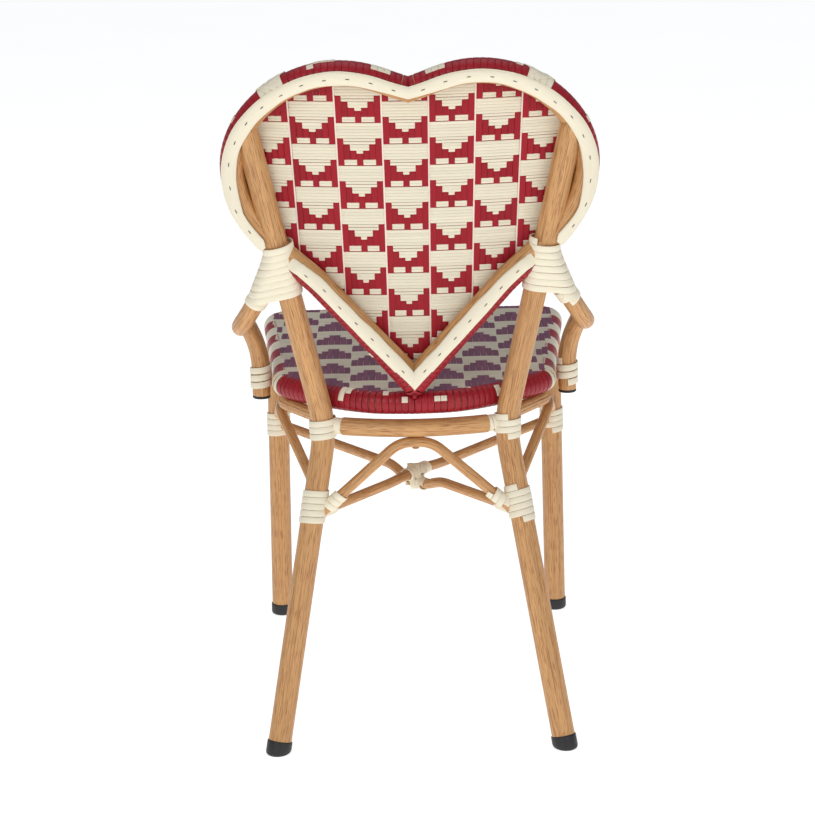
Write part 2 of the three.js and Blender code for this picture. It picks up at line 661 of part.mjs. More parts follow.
// Seat ring and woven seat
for (const [name, flip] of bothSides) {
  const half = solid(tube(ringStations(flip), ringRadius, RING_SIDES));
  put(chair, `seat_ring_${name}`, toGeometry(half.intersect(halfSpace(flip, GAP))), woodLook);
}
function seatPrism(insetBy, z0, z1, rounding = 0) {
  const half = seatOutline(insetBy + rounding);
  const outline = [...half, ...half.slice(1, -1).reverse().map((p) => flat(-p.x, p.y))];
  const geometry = new THREE.ExtrudeGeometry(new THREE.Shape(outline), {
    depth: z1 - z0 - 2 * rounding, bevelEnabled: rounding > 0, bevelThickness: rounding,
    bevelSize: rounding, bevelSegments: 2,
  });
  geometry.translate(0, 0, z0 + rounding);
  return solid(geometry);
}
const ringChannel = [1, -1].map((flip) => {
  const line = ringStations(flip);
  const first = line[0].clone().add(vec(-flip * GAP, 0, 0));
  const last = line[line.length - 1].clone().add(vec(-flip * GAP, 0, 0));
  return solid(tube([first, ...line.slice(1, -1), last], ringRadius + GAP, RING_SIDES));
});
const seatWeave = cut(seatPrism(0, ringZ - seatCover, SEAT_TOP_Z, SEAT_ROUNDING),
  seatPrism(SEAT_WELL_INSET, -OVERRUN, SEAT_TOP_Z - WEAVE), ...ringChannel);
put(chair, 'seat_weave', toGeometry(seatWeave), redWeave);

const bothPosts = [1, -1].map((flip) => solid(postRoom(flip)));

// Side stays with their plugs
for (const [name, flip] of bothSides) {
  const line = mirrored(stayStations, flip);
  const foot = line[line.length - 1];
  const bored = [foot.clone().add(vec(0, 0, -GAP)), foot.clone().add(vec(0, 0, STAY_BORE))];
  const whole = cut(solid(tube(line, stayRadius, STAY_SIDES)),
    solid(tube(bored, stayRadius - STAY_WALL, STAY_SIDES)));
  const place = postBindingPlace(flip);
  const outside = cut(whole, hullOf(place, POST_BINDING_LOOPS, STRIP_THICKNESS / 2 + STAY_ROOT_EASE));
  const inside = whole.intersect(
    hullOf(place, POST_BINDING_LOOPS, -STRIP_THICKNESS / 2 - STAY_ROOT_EASE, 2 * GAP));
  put(chair, `side_stay_${name}`, toGeometry(cut(join(outside, inside), solid(postRoom(flip)))), woodLook);
  const bore = insideFit(stayRadius - STAY_WALL, STAY_SIDES);
  const profile = [flat(0, -PLUG_SPIGOT), flat(bore, -PLUG_SPIGOT), flat(bore, GAP), flat(stayRadius, GAP),
    flat(stayRadius, GAP + PLUG_THICKNESS), flat(0, GAP + PLUG_THICKNESS)];
  const geometry = new THREE.LatheGeometry(profile, PLUG_SIDES);
  geometry.rotateX(-Math.PI / 2);
  geometry.translate(foot.x, foot.y, foot.z);
  put(chair, `stay_plug_${name}`, closedBody(geometry), blackNylon);
}

// Where each binding goes round its leg
const legBinding = (axis, at) => (flip) => {
  const run = vec(axis.x * -flip, -axis.y, -axis.z);
  return bindingPlace(vec(at.x * flip, at.y, at.z), run, vec(flip, 0, 0),
    fixed(flat(0, 0)), fixed(flat(0, 0)), fixed(mainRadius), fixed(mainRadius));
};
const rearBindingPlace = legBinding(legAxis, legAt(SEAT_TOP_Z - REAR_BINDING_DROP));
const railBindingPlace = (flip) => bindingPlace(mirrored([knee.point], flip)[0],
  mirrored([knee.run], flip)[0], vec(flip, 0, 0), fixed(flat(0, 0)), fixed(flat(0, 0)),
  fixed(mainRadius + BEND_EASE), fixed(mainRadius + BEND_EASE));
const frontBindingPlace = legBinding(frontAxis, frontAt(SEAT_TOP_Z - FRONT_BINDING_DROP));
const bothHulls = (place, loops) => [hullOf(place(1), loops), hullOf(place(-1), loops)];
const rearHulls = bothHulls(rearBindingPlace, REAR_BINDING_LOOPS);
const railHulls = bothHulls(railBindingPlace, RAIL_BINDING_LOOPS);
const frontHulls = bothHulls(frontBindingPlace, FRONT_BINDING_LOOPS);
const bothFrontLegs = [1, -1].map(
  (flip) => solid(tube(mirrored([frontEnd, frontTop], flip), mainRadius + GAP, TUBE_SIDES)));

// Rear rail with chamfered noses and spigots that reach the bindings on the posts
const railCurve = new THREE.QuadraticBezierCurve3(vec(-RAIL_END_X, RAIL_END_Y, railZ),
  vec(0, 2 * RAIL_BOW_Y - RAIL_END_Y, railZ), vec(RAIL_END_X, RAIL_END_Y, railZ));
const railLine = railCurve.getPoints(RAIL_STEPS);
const spigotRoute = [legAt(railZ), ...railLine.slice(1, -1).reverse(), mirrored([legAt(railZ)], -1)[0]];
const noseTip = (end, inner) => end.clone().add(end.clone().sub(inner).setLength(RAIL_NOSE));
const railTips = [noseTip(railLine[0], railLine[1]),
  noseTip(railLine[railLine.length - 1], railLine[railLine.length - 2])];
const nosedRail = tube([railTips[0], ...railLine, railTips[1]], railRadius, RAIL_SIDES);
const railPlaces = nosedRail.attributes.position;
for (let i = 0; i < railPlaces.count; i++) {
  const place = new THREE.Vector3().fromBufferAttribute(railPlaces, i);
  const end = railTips.find((tipPlace) => tipPlace.distanceTo(place) < railRadius + RAIL_NOSE / 4);
  if (end) {
    place.sub(end).multiplyScalar(1 - RAIL_NOSE / railRadius).add(end);
    railPlaces.setXYZ(i, place.x, place.y, place.z);
  }
}
const railBody = join(solid(nosedRail), solid(tube(spigotRoute, RAIL_SPIGOT / 2, SPIGOT_SIDES)));

// Screws that hold the middle of an arch up to the member over it
const screwProfile = (length) => [flat(0, -SCREW_HEIGHT), flat(SCREW_HEAD / 2, -SCREW_HEIGHT),
  flat(SCREW_HEAD / 2, 0), flat(SCREW_SHANK / 2, 0), flat(SCREW_SHANK / 2, length), flat(0, length)];
function screwAt(place, grow = 0) {
  const profile = screwProfile(BRACE_TUBE + 2 * GAP + SCREW_BITE + grow)
    .map((p) => flat(p.x > 0 ? p.x + grow : 0, p.y));
  const geometry = new THREE.LatheGeometry(profile, SCREW_SIDES);
  geometry.rotateX(Math.PI / 2);
  geometry.translate(place.x, place.y, place.z - braceRadius - GAP);
  return closedBody(geometry);
}
const rearArchZ = railZ - railRadius - GAP - braceRadius;
const hoopArchZ = hoopZ - hoopRadius - GAP - braceRadius;
const frontArchY = SEAT_FRONT_Y + seatCover;
const archScrews = {
  rear: vec(0, RAIL_BOW_Y, rearArchZ),
  front: vec(0, frontArchY, hoopArchZ),
  left: vec(SIDE_ARCH_X, (SIDE_ARCH_REAR_Y + SIDE_ARCH_FRONT_Y) / 2, hoopArchZ),
  right: vec(-SIDE_ARCH_X, (SIDE_ARCH_REAR_Y + SIDE_ARCH_FRONT_Y) / 2, hoopArchZ),
};
const screwHoles = Object.values(archScrews).map((place) => solid(screwAt(place, GAP)));
put(chair, 'rear_seat_rail', toGeometry(cut(railBody, ...railHulls, ...bothPosts, screwHoles[0])), woodLook);

// Arches: a straight run from each leg up to a short level middle, screwed to the member over it
const rearArchFoot = legAt(SEAT_TOP_Z - REAR_ARCH_FOOT_DROP);
const sideArchFoot = legAt(SEAT_TOP_Z - SIDE_ARCH_FOOT_DROP);
const frontArchFoot = frontAt(SEAT_TOP_Z - FRONT_ARCH_FOOT_DROP);
const archCorners = {
  rear: [mirrored([rearArchFoot], -1)[0], vec(-ARCH_FLAT_X, RAIL_BOW_Y, rearArchZ),
    vec(ARCH_FLAT_X, RAIL_BOW_Y, rearArchZ), rearArchFoot],
  front: [mirrored([frontArchFoot], -1)[0], vec(-ARCH_FLAT_X, frontArchY, hoopArchZ),
    vec(ARCH_FLAT_X, frontArchY, hoopArchZ), frontArchFoot],
};
for (const [name, flip] of bothSides) {
  archCorners[name] = mirrored([sideArchFoot, vec(SIDE_ARCH_X, SIDE_ARCH_REAR_Y, hoopArchZ),
    vec(SIDE_ARCH_X, SIDE_ARCH_FRONT_Y, hoopArchZ), frontArchFoot], flip);
}
const brace = (stations) => solid(tube(stations, braceRadius, BRACE_SIDES));

// Cross braces: the lower one dips under the upper one inside the lashing that ties them
const crossHeight = (share) => crossRearZ + (crossFrontZ - crossRearZ) * share;
const crossLine = (flip) => [vec(legAt(crossRearZ).x * flip, legAt(crossRearZ).y, crossRearZ),
  vec(-frontAt(crossFrontZ).x * flip, FRONT_LEG_Y, crossFrontZ)];
const meetShare = legAt(crossRearZ).x / (legAt(crossRearZ).x + frontAt(crossFrontZ).x);
const crossMiddle = crossLine(1)[0].clone().lerp(crossLine(1)[1], meetShare);
const crossStations = (flip, lift) => {
  const [rear, front] = crossLine(flip);
  const at = (share) => rear.clone().lerp(front, share);
  const level = at(meetShare).add(vec(0, 0, lift));
  return [rear, at(meetShare - 2 * CROSS_DIP_SHARE), level.clone().lerp(rear, CROSS_DIP_SHARE).setZ(level.z),
    level.clone().lerp(front, CROSS_DIP_SHARE).setZ(level.z), at(meetShare + 2 * CROSS_DIP_SHARE), front];
};
const crossDrop = CROSS_RISE - BRACE_TUBE - 2 * GAP;
const crossBraces = { left: brace(crossStations(1, CROSS_RISE)), right: brace(crossStations(-1, crossDrop)) };

put(chair, 'seat_hoop', toGeometry(cut(hoopTube(hoopRadius), ...bothPosts, ...railHulls,
  ...screwHoles.slice(1))), woodLook);

const rearFacing = [...rearHulls, ...bothPosts];
const frontFacing = [...frontHulls, ...bothFrontLegs];
const bracing = {
  rear_arch: cut(brace(bentStations(archCorners.rear, ARCH_BEND)), ...rearFacing, screwHoles[0]),
  front_arch: cut(brace(bentStations(archCorners.front, ARCH_BEND)), ...frontFacing, screwHoles[1]),
};
for (const [index, [name]] of bothSides.entries()) {
  bracing[`side_arch_${name}`] = cut(brace(bentStations(archCorners[name], ARCH_BEND)),
    ...rearFacing, ...frontFacing, screwHoles[2 + index]);
  bracing[`cross_brace_${name}`] = cut(crossBraces[name], ...rearFacing, ...frontFacing);
}
for (const [name, body] of Object.entries(bracing)) put(chair, name, toGeometry(body), woodLook);
for (const [name, place] of Object.entries(archScrews)) {
  put(chair, `arch_screw_${name}`, screwAt(place), zincSteel);
}

// Bindings
const stayFoot = (flip) => bindingPlace(vec(stayEndX * flip, STAY_END_Y, SEAT_TOP_Z - STAY_BINDING_DROP),
  vec(0, 0, 1), vec(flip, 0, 0), fixed(flat(0, 0)), fixed(flat(0, 0)),
  fixed(stayRadius + BEND_EASE), fixed(stayRadius + BEND_EASE));
const lashingRadius = (CROSS_RISE - crossDrop + BRACE_TUBE + GAP) / 2 * Math.cos(Math.PI / (LOOP_STEPS - 2));
const crossLashing = bindingPlace(crossMiddle.clone().add(vec(0, 0, CROSS_RISE - braceRadius - GAP)),
  vec(0, 1, 0), vec(1, 0, 0), fixed(flat(-CROSS_BINDING_SPREAD, 0)), fixed(flat(CROSS_BINDING_SPREAD, 0)),
  fixed(lashingRadius), fixed(lashingRadius));
// A short binding round a brace, just clear of the binding on the leg
const endBinding = (leg, toward) => {
  const run = toward.clone().sub(leg).normalize();
  const reach = END_BINDING_REACH / Math.hypot(run.x, run.y);
  return bindingPlace(leg.clone().addScaledVector(run, reach), run, vec(0, 0, 1), fixed(flat(0, 0)),
    fixed(flat(0, 0)), fixed(braceRadius), fixed(braceRadius));
};
const bindings = { cross_binding: winding(CROSS_BINDING_LOOPS, crossLashing) };
for (const [name, flip] of bothSides) {
  bindings[`post_binding_${name}`] = winding(POST_BINDING_LOOPS, postBindingPlace(flip));
  bindings[`stay_binding_${name}`] = winding(STAY_BINDING_LOOPS, stayFoot(flip));
  bindings[`rail_binding_${name}`] = winding(RAIL_BINDING_LOOPS, railBindingPlace(flip));
  bindings[`rear_leg_binding_${name}`] = winding(REAR_BINDING_LOOPS, rearBindingPlace(flip));
  bindings[`front_leg_binding_${name}`] = winding(FRONT_BINDING_LOOPS, frontBindingPlace(flip));
  const [archFoot, archBend] = flip > 0 ? archCorners.rear.slice().reverse() : archCorners.rear;
  bindings[`arch_end_binding_${name}`] = winding(END_BINDING_LOOPS, endBinding(archFoot, archBend));
  bindings[`cross_end_binding_${name}`] = winding(END_BINDING_LOOPS,
    endBinding(crossLine(flip)[0], crossLine(flip)[1]));
}
for (const [name, geometry] of Object.entries(bindings)) put(chair, name, geometry, creamStrip);
console.log('least gap between the turns of a binding, mm:', leastGap.toFixed(2));

export default chair;
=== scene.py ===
"""Bistro side chair with a heart-shaped woven back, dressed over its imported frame.

Sizes in the plans below are millimetres, and every mesh is built in metres.
+Z is up, the front of the seat faces -Y and the sitter's left is +X.
"""

import math
import random

import bpy
import numpy as np
from bpy.props import FloatProperty, FloatVectorProperty, IntProperty, PointerProperty
from mathutils import Matrix, Vector


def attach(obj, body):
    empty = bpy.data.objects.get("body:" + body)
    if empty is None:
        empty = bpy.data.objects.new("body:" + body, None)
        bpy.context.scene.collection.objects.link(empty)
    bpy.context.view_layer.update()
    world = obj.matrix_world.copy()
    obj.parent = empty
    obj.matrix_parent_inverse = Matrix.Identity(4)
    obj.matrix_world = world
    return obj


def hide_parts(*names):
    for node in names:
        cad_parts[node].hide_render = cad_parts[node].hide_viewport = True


bl_info = {
    "name": "Heart Back Bistro Chair",
    "version": (1, 0, 0),
    "blender": (4, 5, 0),
    "location": "View3D > Sidebar > Chair",
    "description": "Dresses the frame of a woven bistro chair",
    "category": "Add Mesh",
}

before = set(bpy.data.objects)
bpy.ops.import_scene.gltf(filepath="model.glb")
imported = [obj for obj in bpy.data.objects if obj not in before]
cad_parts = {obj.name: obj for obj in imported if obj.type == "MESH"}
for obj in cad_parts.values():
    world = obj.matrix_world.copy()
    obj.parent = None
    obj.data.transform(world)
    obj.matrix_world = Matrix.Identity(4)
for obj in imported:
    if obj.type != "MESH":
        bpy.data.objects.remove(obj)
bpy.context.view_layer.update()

MM = 0.001
SIDES = (("left", 1), ("right", -1))

# Posts and legs
REAR_FOOT = (179, 257, 0)
FRONT_FOOT = (194.5, -254.5, 0)
FRONT_TOP = (189.8, -254.5, 403.2)
KNEE = (111.5, 162, 393.5)
KNEE_BEND = 34
CAP_HEIGHT = 16
# How far up a leg its tube starts inside the cap, how far a front leg's tube ends below the seat's hoop,
# and how much a cap stands proud of its tube
TUBE_START = 6.4
LEG_TOP_GAP = 4
CAP_PROUD = 1.25
# Profile of a foot cap: height up the leg and share of its radius. Below CAP_LEVEL its rings lie level
CAP_PROFILE = ((0, 0.02), (0, 0.6), (0, 0.8), (0.9, 0.9), (2.2, 0.97), (4, 1.0), (CAP_HEIGHT - 1.6, 1.0),
               (CAP_HEIGHT - 0.4, 0.985), (CAP_HEIGHT, 0.955), (CAP_HEIGHT, 0.9))
CAP_LEVEL = 5
# Profile of a stay's plug: height over the tube's end and share of the tube's radius
PLUG_PROFILE = ((6, 0.86), (-0.3, 0.86), (-0.3, 0.97), (-0.9, 1.0), (-2.4, 1.0), (-3.3, 0.94), (-3.3, 0.5),
                (-3.3, 0.02))

# Back, measured up its slope from the knees: across, out through its rear face, up
BACK_LEAN = math.radians(7)
BACK_BOW = 15
BACK_BOW_RADIUS = 900
POST_START_X = 110.8
POST_CROSS = (154.5, 2.6, 200)
POST_TOP = (196, -5.9, 390)
HEART_TIP = (0, 68)
HEART_SIDE = (108.8, 189.4)
HEART_WIDE = (212.5, 337)
HEART_TOP = (81, 456.5)
HEART_CLEFT = (0, 436)
# Reach of the handles of the heart's curves: along its side, below and above its widest place, outward and
# inward of its top, and the rise of the last one from the cleft
SIDE_REACH = 45
WIDE_REACH = (76, 60)
TOP_REACH = (68, 32)
CLEFT_RISE = 10
# Thickness of what is laid on a tube in the solids
COVER = 3
# Share of its height that the post leans out by on the back
POST_LEAN = 0.21
# Top of the post binding on the back, and how far its middle stands above the crossing of the tubes
WRAP_TOP_V = 246
WRAP_RISE = 10

# Back weave: strands in a column, rows in a motif, the row that it starts at, place of the middle column,
# how the columns fan out with height, and how far the weave's middle lies in front of the tube's face
BACK_STRANDS = 7
MOTIF_ROWS = 14
HALF_MOTIF = MOTIF_ROWS // 2
BACK_FIRST_ROW = 9
BACK_COLUMN_X = 4.5
FAN_LEVEL = 385
FAN_RATE = 0.00034
BACK_COLUMNS = range(-5, 6)
BACK_ROWS = range(-32, 82)
WEAVE_GAP = 1.3
# Rough lower and upper end of a strand, from which its true ends are found
SPAN_START = (270, 430)
# Rows that are pushed up, by their step in a motif
PUSHED = {8: 0.7, 7: 0.25}
# How far strands and rows stand to either side of a weave's middle
WEAVE_LIFT = 0.5

# Roll of strands round the heart tube: thickness, how much fuller it is below ROLL_LOWER_V and at the tip,
# its ends in degrees round the tube, and the end of those that are cut short below ROLL_SHORT_V
ROLL_THICKNESS = 1.2
ROLL_LOWER_V = 220
ROLL_FULLER = (0.9, 2.4)
ROLL_TIP_WIDTH = 30
ROLL_ENDS = (-96, 104)
ROLL_SHORT_END = 62
ROLL_SHORT_V = 345
# How far beside the post's axis rolled strands start, and up to where they are cut short
ROLL_CLEAR = (13, 24)

# Seat
SEAT_TOP = 442
SEAT_FRONT_Y = -274.1
SEAT_CORNER = 47
SEAT_FRONT_X = 206
SEAT_SIDE = ((206, -227.1), (190, -57), (180.6, 42), (175, 92), (118, 148), (58, 182), (0, 189.5))
RING_RADIUS = 12
SEAT_STRANDS = 6
SEAT_COLUMN_X = 9
SEAT_FIRST_ROW = 4
SEAT_ROWS = 84
SEAT_ROW_Y = 174
# No strand runs farther out than this
SEAT_LAST_X = 189
# How far the seat's rows bow round each motif, and its strands fan out
SEAT_BOW = 1.7
SEAT_FAN = 0.9
# Roll round the seat's ring: radius, ends in degrees, thickness, and how high cream strands lie on it
SEAT_ROLL_RADIUS = RING_RADIUS + COVER - 0.8
SEAT_ROLL_ENDS = (98, -118)
SEAT_ROLL_THICKNESS = 1.3
SEAT_PATCH_LIFT = 0.8
# Cream strands on the rear of the seat's roll: place across, from and to in degrees
SEAT_PATCHES = ((94, 85, 5), (86, 85, 45), (33, 78, 50), (8, 40, 12), (-27, 40, 15), (-35, 40, 15),
                (-117, 60, 5))
RING_Z = SEAT_TOP - RING_RADIUS - COVER
HOOP_Z = 403.2
HOOP_END = (116, 152)
HOOP_LAST_Y = 92
HOOP_RADIUS = 8.5
# Three grooves along the hoop's outer face: places round it, width and share of the radius
HOOP_GROOVES = (-0.5, 0.0, 0.5)
GROOVE_WIDTH = 0.09
GROOVE_DEPTH = 0.1

# Stays, rail, arches and cross braces
STAY_ROOT_V = 214
STAY_NECK = (187, 175)
STAY_ELBOW = (215, 146, 517)
STAY_TURN = (213, 64, 510)
STAY_END = (196.3, 45, 405)
STAY_DROP = 463
STAY_BEND = 26
RAIL_Z = 396
RAIL_END = (89, 168)
RAIL_BOW_Y = 182
RAIL_NOSE = 4
SPIGOT_RADIUS = 7
ARCH_Z = (377.9, 387.9)
ARCH_FLAT = 20
ARCH_BEND = 16
# Heights at which the arches meet the legs: rear, side and front
ARCH_FOOT_Z = (280, 318, 294)
SIDE_ARCH = ((172, 62), (172, 26))
# Profile of a screw's head: height and radius
SCREW_PROFILE = ((0.6, 0.02), (0.6, 4.2), (-0.2, 4.5), (-1.2, 4.3), (-2.0, 3.2), (-2.4, 1.8), (-2.4, 1.2),
                 (-1.5, 1.0), (-1.5, 0.05))
CROSS_Z = (288, 281)
CROSS_BEND = 12
# How the cross braces step over each other: left one up, right one down, and the shares of their length
# before and after the crossing between which they do
CROSS_LIFTS = (("left", 1, 2.5), ("right", -1, -11.1))
CROSS_STEP = (0.1, 0.04)

# Spacing of stations along the tubes
POST_STATION = 12
HEART_STATION = 9
RING_STATION = 8
STAY_STATION = 6
BRACE_STATION = 4

# Strip bindings
STRIP = 7.9
STRIP_PITCH = 8.2
STRIP_THICKNESS = 1.6
STRIP_EDGE = 0.6
# Space between a tube and the middle of the strip wound round it
WRAP_EASE = 1.5
# Space between the axes of post and stay in the post binding: heights up the post, and the space at each
POST_WRAP_SPREAD = ((-34, -20, 10, 22, 34), (33, 27, 9, 3, 1))
STAY_WRAP_Z = 430
# Bindings on the legs: each leg's foot and top, the binding's height and its turns
LEG_WRAPS = (("rear", REAR_FOOT, KNEE, 298, 5), ("front", FRONT_FOOT, FRONT_TOP, 283, 4))
# Turns of the other bindings, and of the lashings beside the crossing and round it
POST_TURNS = 7.9
NECK_TURNS = 2.6
STAY_TURNS = 2.9
RAIL_TURNS = 3
SPIGOT_TURNS = 1.6
END_TURNS = 3
LASH_TURNS = (1.6, 2.6)
# How far the bindings on arch and brace ends stand from the leg's axis, and the lashings from the crossing
END_WRAP_REACH = 29
LASH_REACH = 14


def linear(code):
    """Linear RGBA from an sRGB hex code"""
    parts = [int(code[i:i + 2], 16) / 255 for i in (0, 2, 4)]
    return tuple(c / 12.92 if c <= 0.04045 else ((c + 0.055) / 1.055) ** 2.4 for c in parts) + (1.0,)


class ChairTubes(bpy.types.PropertyGroup):
    """Tubes of the frame"""
    main: FloatProperty(name="Main tube", description="Outer diameter of the posts, legs and heart",
                        default=0.029, unit="LENGTH")
    stay: FloatProperty(name="Stay tube", description="Outer diameter of the side stays",
                        default=0.023, unit="LENGTH")
    rail: FloatProperty(name="Rail tube", description="Outer diameter of the rear seat rail",
                        default=0.0226, unit="LENGTH")
    brace: FloatProperty(name="Brace tube", description="Outer diameter of the arches and cross braces",
                         default=0.013, unit="LENGTH")
    around: IntProperty(name="Facets", description="Facets round a tube", default=32, min=8)
    wood: FloatVectorProperty(name="Wood print", description="Middle tone of the printed wood grain",
                              subtype="COLOR", size=4, default=linear("cf9c64"), min=0, max=1)
    grain: FloatVectorProperty(name="Grain", description="Dark tone of the printed wood grain",
                               subtype="COLOR", size=4, default=linear("93592b"), min=0, max=1)


class ChairWeave(bpy.types.PropertyGroup):
    """Woven strands of the back and the seat"""
    strand: FloatProperty(name="Strand", description="Pitch of the upright strands", default=0.00767,
                          unit="LENGTH")
    filler: FloatProperty(name="Filler", description="Width of the pale strand between two columns",
                          default=0.0018, unit="LENGTH")
    row: FloatProperty(name="Seat row", description="Pitch of the cross strands of the seat",
                       default=0.0053, unit="LENGTH")
    red: FloatVectorProperty(name="Red", description="Colour of the upright strands", subtype="COLOR",
                             size=4, default=linear("9c1b27"), min=0, max=1)
    cream: FloatVectorProperty(name="Cream", description="Colour of the cross strands and the strip",
                               subtype="COLOR", size=4, default=linear("f0e6cd"), min=0, max=1)
    blush: FloatVectorProperty(name="Blush", description="Colour of the strand between two columns",
                               subtype="COLOR", size=4, default=linear("f2dfd0"), min=0, max=1)


class ChairStudio(bpy.types.PropertyGroup):
    """Camera and light"""
    focal: FloatProperty(name="Focal length", description="Focal length on a 36 mm wide sensor, in mm",
                         default=119.1)
    distance: FloatProperty(name="Distance", description="From the camera to the middle of the chair",
                            default=3.49748, unit="LENGTH")
    pitch: FloatProperty(name="Pitch", description="How far down the camera looks",
                         default=math.radians(14.547), subtype="ANGLE")
    roll: FloatProperty(name="Roll", description="Turn of the camera about its own axis",
                        default=math.radians(-1.1919), subtype="ANGLE")
    floor: FloatVectorProperty(name="Floor", description="Colour of the floor", subtype="COLOR",
                               size=4, default=linear("f6f6f5"), min=0, max=1)


def points(*rows):
    return np.array(rows, float)


def unit(v):
    return v / np.linalg.norm(v, axis=-1, keepdims=True)


def on_back(flat):
    """World points of rows of (across, out, up the slope)"""
    x, out, v = np.asarray(flat, float).T
    c, s = math.cos(BACK_LEAN), math.sin(BACK_LEAN)
    return np.stack([x, KNEE[1] + out * c + v * s, KNEE[2] - out * s + v * c], 1)


def bow(x):
    return BACK_BOW - np.asarray(x, float) ** 2 / (2 * BACK_BOW_RADIUS)


def bezier(*control, steps=24):
    control = np.array(control, float)
    order = len(control) - 1
    t = np.linspace(0, 1, steps + 1)[:, None]
    return sum(math.comb(order, i) * t ** i * (1 - t) ** (order - i) * control[i] for i in range(order + 1))


def spline(knots, steps=10):
    """Smooth line through knots"""
    k = np.array(knots, float)
    k = np.vstack([k[0], k, k[-1]])
    out = []
    for a, b, c, d in zip(k[:-3], k[1:-2], k[2:-1], k[3:]):
        t = np.linspace(0, 1, steps, endpoint=False)[:, None]
        out.append(0.5 * ((2 * b) + (c - a) * t + (2 * a - 5 * b + 4 * c - d) * t ** 2
                          + (3 * b - a - 3 * c + d) * t ** 3))
    return np.vstack([*out, k[-1]])


def bent(corners, bend, steps=10):
    """Straight stretches whose corners are rounded from a bend's length before each"""
    c = np.array(corners, float)
    line = [c[:1]]
    for before, at, after in zip(c[:-2], c[1:-1], c[2:]):
        line.append(bezier(at + unit(before - at) * bend, at, at + unit(after - at) * bend, steps=steps))
    return np.vstack([*line, c[-1:]])


def evenly(line, step):
    """The same line with points at an even spacing"""
    run = np.concatenate([[0], np.cumsum(np.linalg.norm(np.diff(line, axis=0), axis=1))])
    count = max(2, int(round(run[-1] / step)) + 1)
    places = np.linspace(0, run[-1], count)
    return np.stack([np.interp(places, run, line[:, i]) for i in range(line.shape[1])], 1)


def directions(line):
    d = np.gradient(line, axis=0)
    return unit(d)


def carried(line, up):
    """Two normals at each point of a line, turned as little as possible along it"""
    t = directions(line)
    n = np.empty_like(line)
    n[0] = unit(np.array(up, float) - t[0] * np.dot(up, t[0]))
    for i in range(1, len(line)):
        n[i] = unit(n[i - 1] - t[i] * np.dot(n[i - 1], t[i]))
    return n, np.cross(t, n)


def mirror(line, side):
    return line * np.array([side, 1, 1])


def volume(rings):
    """Signed volume within rings, which is below zero where the skin would face inward"""
    near, far = rings[:-1], rings[1:]
    side, ahead = np.roll(near, -1, 1), np.roll(far, -1, 1)
    walls = np.cross(ahead - near, far - side) / 2
    total = np.sum((near + far + side + ahead) / 4 * walls)
    for ring, sign in ((rings[0], -1), (rings[-1], 1)):
        area = np.cross(ring, np.roll(ring, -1, 0)).sum(0) / 2
        total += sign * np.dot(ring.mean(0), area)
    return total / 3


class Piece:
    """Gathers skins of quads, each with its own finish and tone, and makes one mesh object of them"""

    def __init__(self, name, *keys):
        self.name, self.keys = name, keys
        self.rings, self.quads, self.caps, self.tones = [], [], [], []
        self.quad_uv, self.cap_uv, self.quad_finish, self.cap_finish = [], [], [], []
        self.count = 0

    def skin(self, rings, tone=0.5, finish=0):
        """A closed skin through rings of points in millimetres; its UV is metres round and along"""
        rings = np.asarray(rings, float) * MM
        n, k = rings.shape[:2]
        index = self.count + np.arange(n * k).reshape(n, k)
        around = np.linalg.norm(np.roll(rings, -1, 1) - rings, axis=2).mean(0)
        u = np.concatenate([[0], np.cumsum(around)])
        v = np.concatenate([[0], np.cumsum(np.linalg.norm(np.diff(rings.mean(1), axis=0), axis=1))])
        right = np.roll(index, -1, 1)
        quads = np.stack([index[:-1], right[:-1], right[1:], index[1:]], 2)
        uv = np.empty((n - 1, k, 4, 2))
        uv[..., 0, 0] = uv[..., 3, 0] = u[:-1]
        uv[..., 1, 0] = uv[..., 2, 0] = u[1:]
        uv[..., 0, 1] = uv[..., 1, 1] = v[:-1, None]
        uv[..., 2, 1] = uv[..., 3, 1] = v[1:, None]
        quads, uv = quads.reshape(-1, 4), uv.reshape(-1, 4, 2)
        inward = volume(rings) < 0
        if inward:
            quads, uv = quads[:, ::-1], uv[:, ::-1]
        self.quads.append(quads)
        self.quad_uv.append(uv)
        self.quad_finish.append(np.full(len(quads), finish))
        for ring, backward in ((index[0], True), (index[-1], False)):
            self.caps.append(list(ring[::-1] if backward != inward else ring))
            self.cap_uv.append(np.zeros((k, 2)))
            self.cap_finish.append(finish)
        self.rings.append(rings.reshape(-1, 3))
        self.tones.append(np.full(n * k, tone))
        self.count += n * k
        return self

    def make(self, *nodes, crease=40):
        """Makes the object, which stands for solids of the frame, or for none where it is a small one"""
        mesh = bpy.data.meshes.new(self.name)
        mesh.from_pydata(np.vstack(self.rings).tolist(), [], np.vstack(self.quads).tolist() + self.caps)
        uv = mesh.uv_layers.new(name="length")
        uv.data.foreach_set("uv", np.vstack([np.vstack(self.quad_uv).reshape(-1, 2), *self.cap_uv]).ravel())
        mesh.polygons.foreach_set("material_index",
                                  np.concatenate([*self.quad_finish, self.cap_finish]).astype(int))
        tone = mesh.attributes.new("tone", "FLOAT", "POINT")
        tone.data.foreach_set("value", np.concatenate(self.tones))
        for key in self.keys:
            mesh.materials.append(finish_of(key))
        mesh.polygons.foreach_set("use_smooth", [True] * len(mesh.polygons))
        mesh.update()
        mesh.set_sharp_from_angle(angle=math.radians(crease))
        obj = bpy.data.objects.new(self.name, mesh)
        bpy.context.scene.collection.objects.link(obj)
        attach(obj, "root")
        if nodes:
            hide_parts(*nodes)


def swept(line, section, up, scale=None):
    """Rings of a section, given as (toward up, sideways), set square to a line"""
    n, b = carried(line, up) if np.ndim(up) == 1 else framed(line, up)
    section = np.asarray(section, float)
    size = np.ones(len(line)) if scale is None else np.asarray(scale, float)
    return (line[:, None] + size[:, None, None] * (section[None, :, :1] * n[:, None]
                                                   + section[None, :, 1:] * b[:, None]))


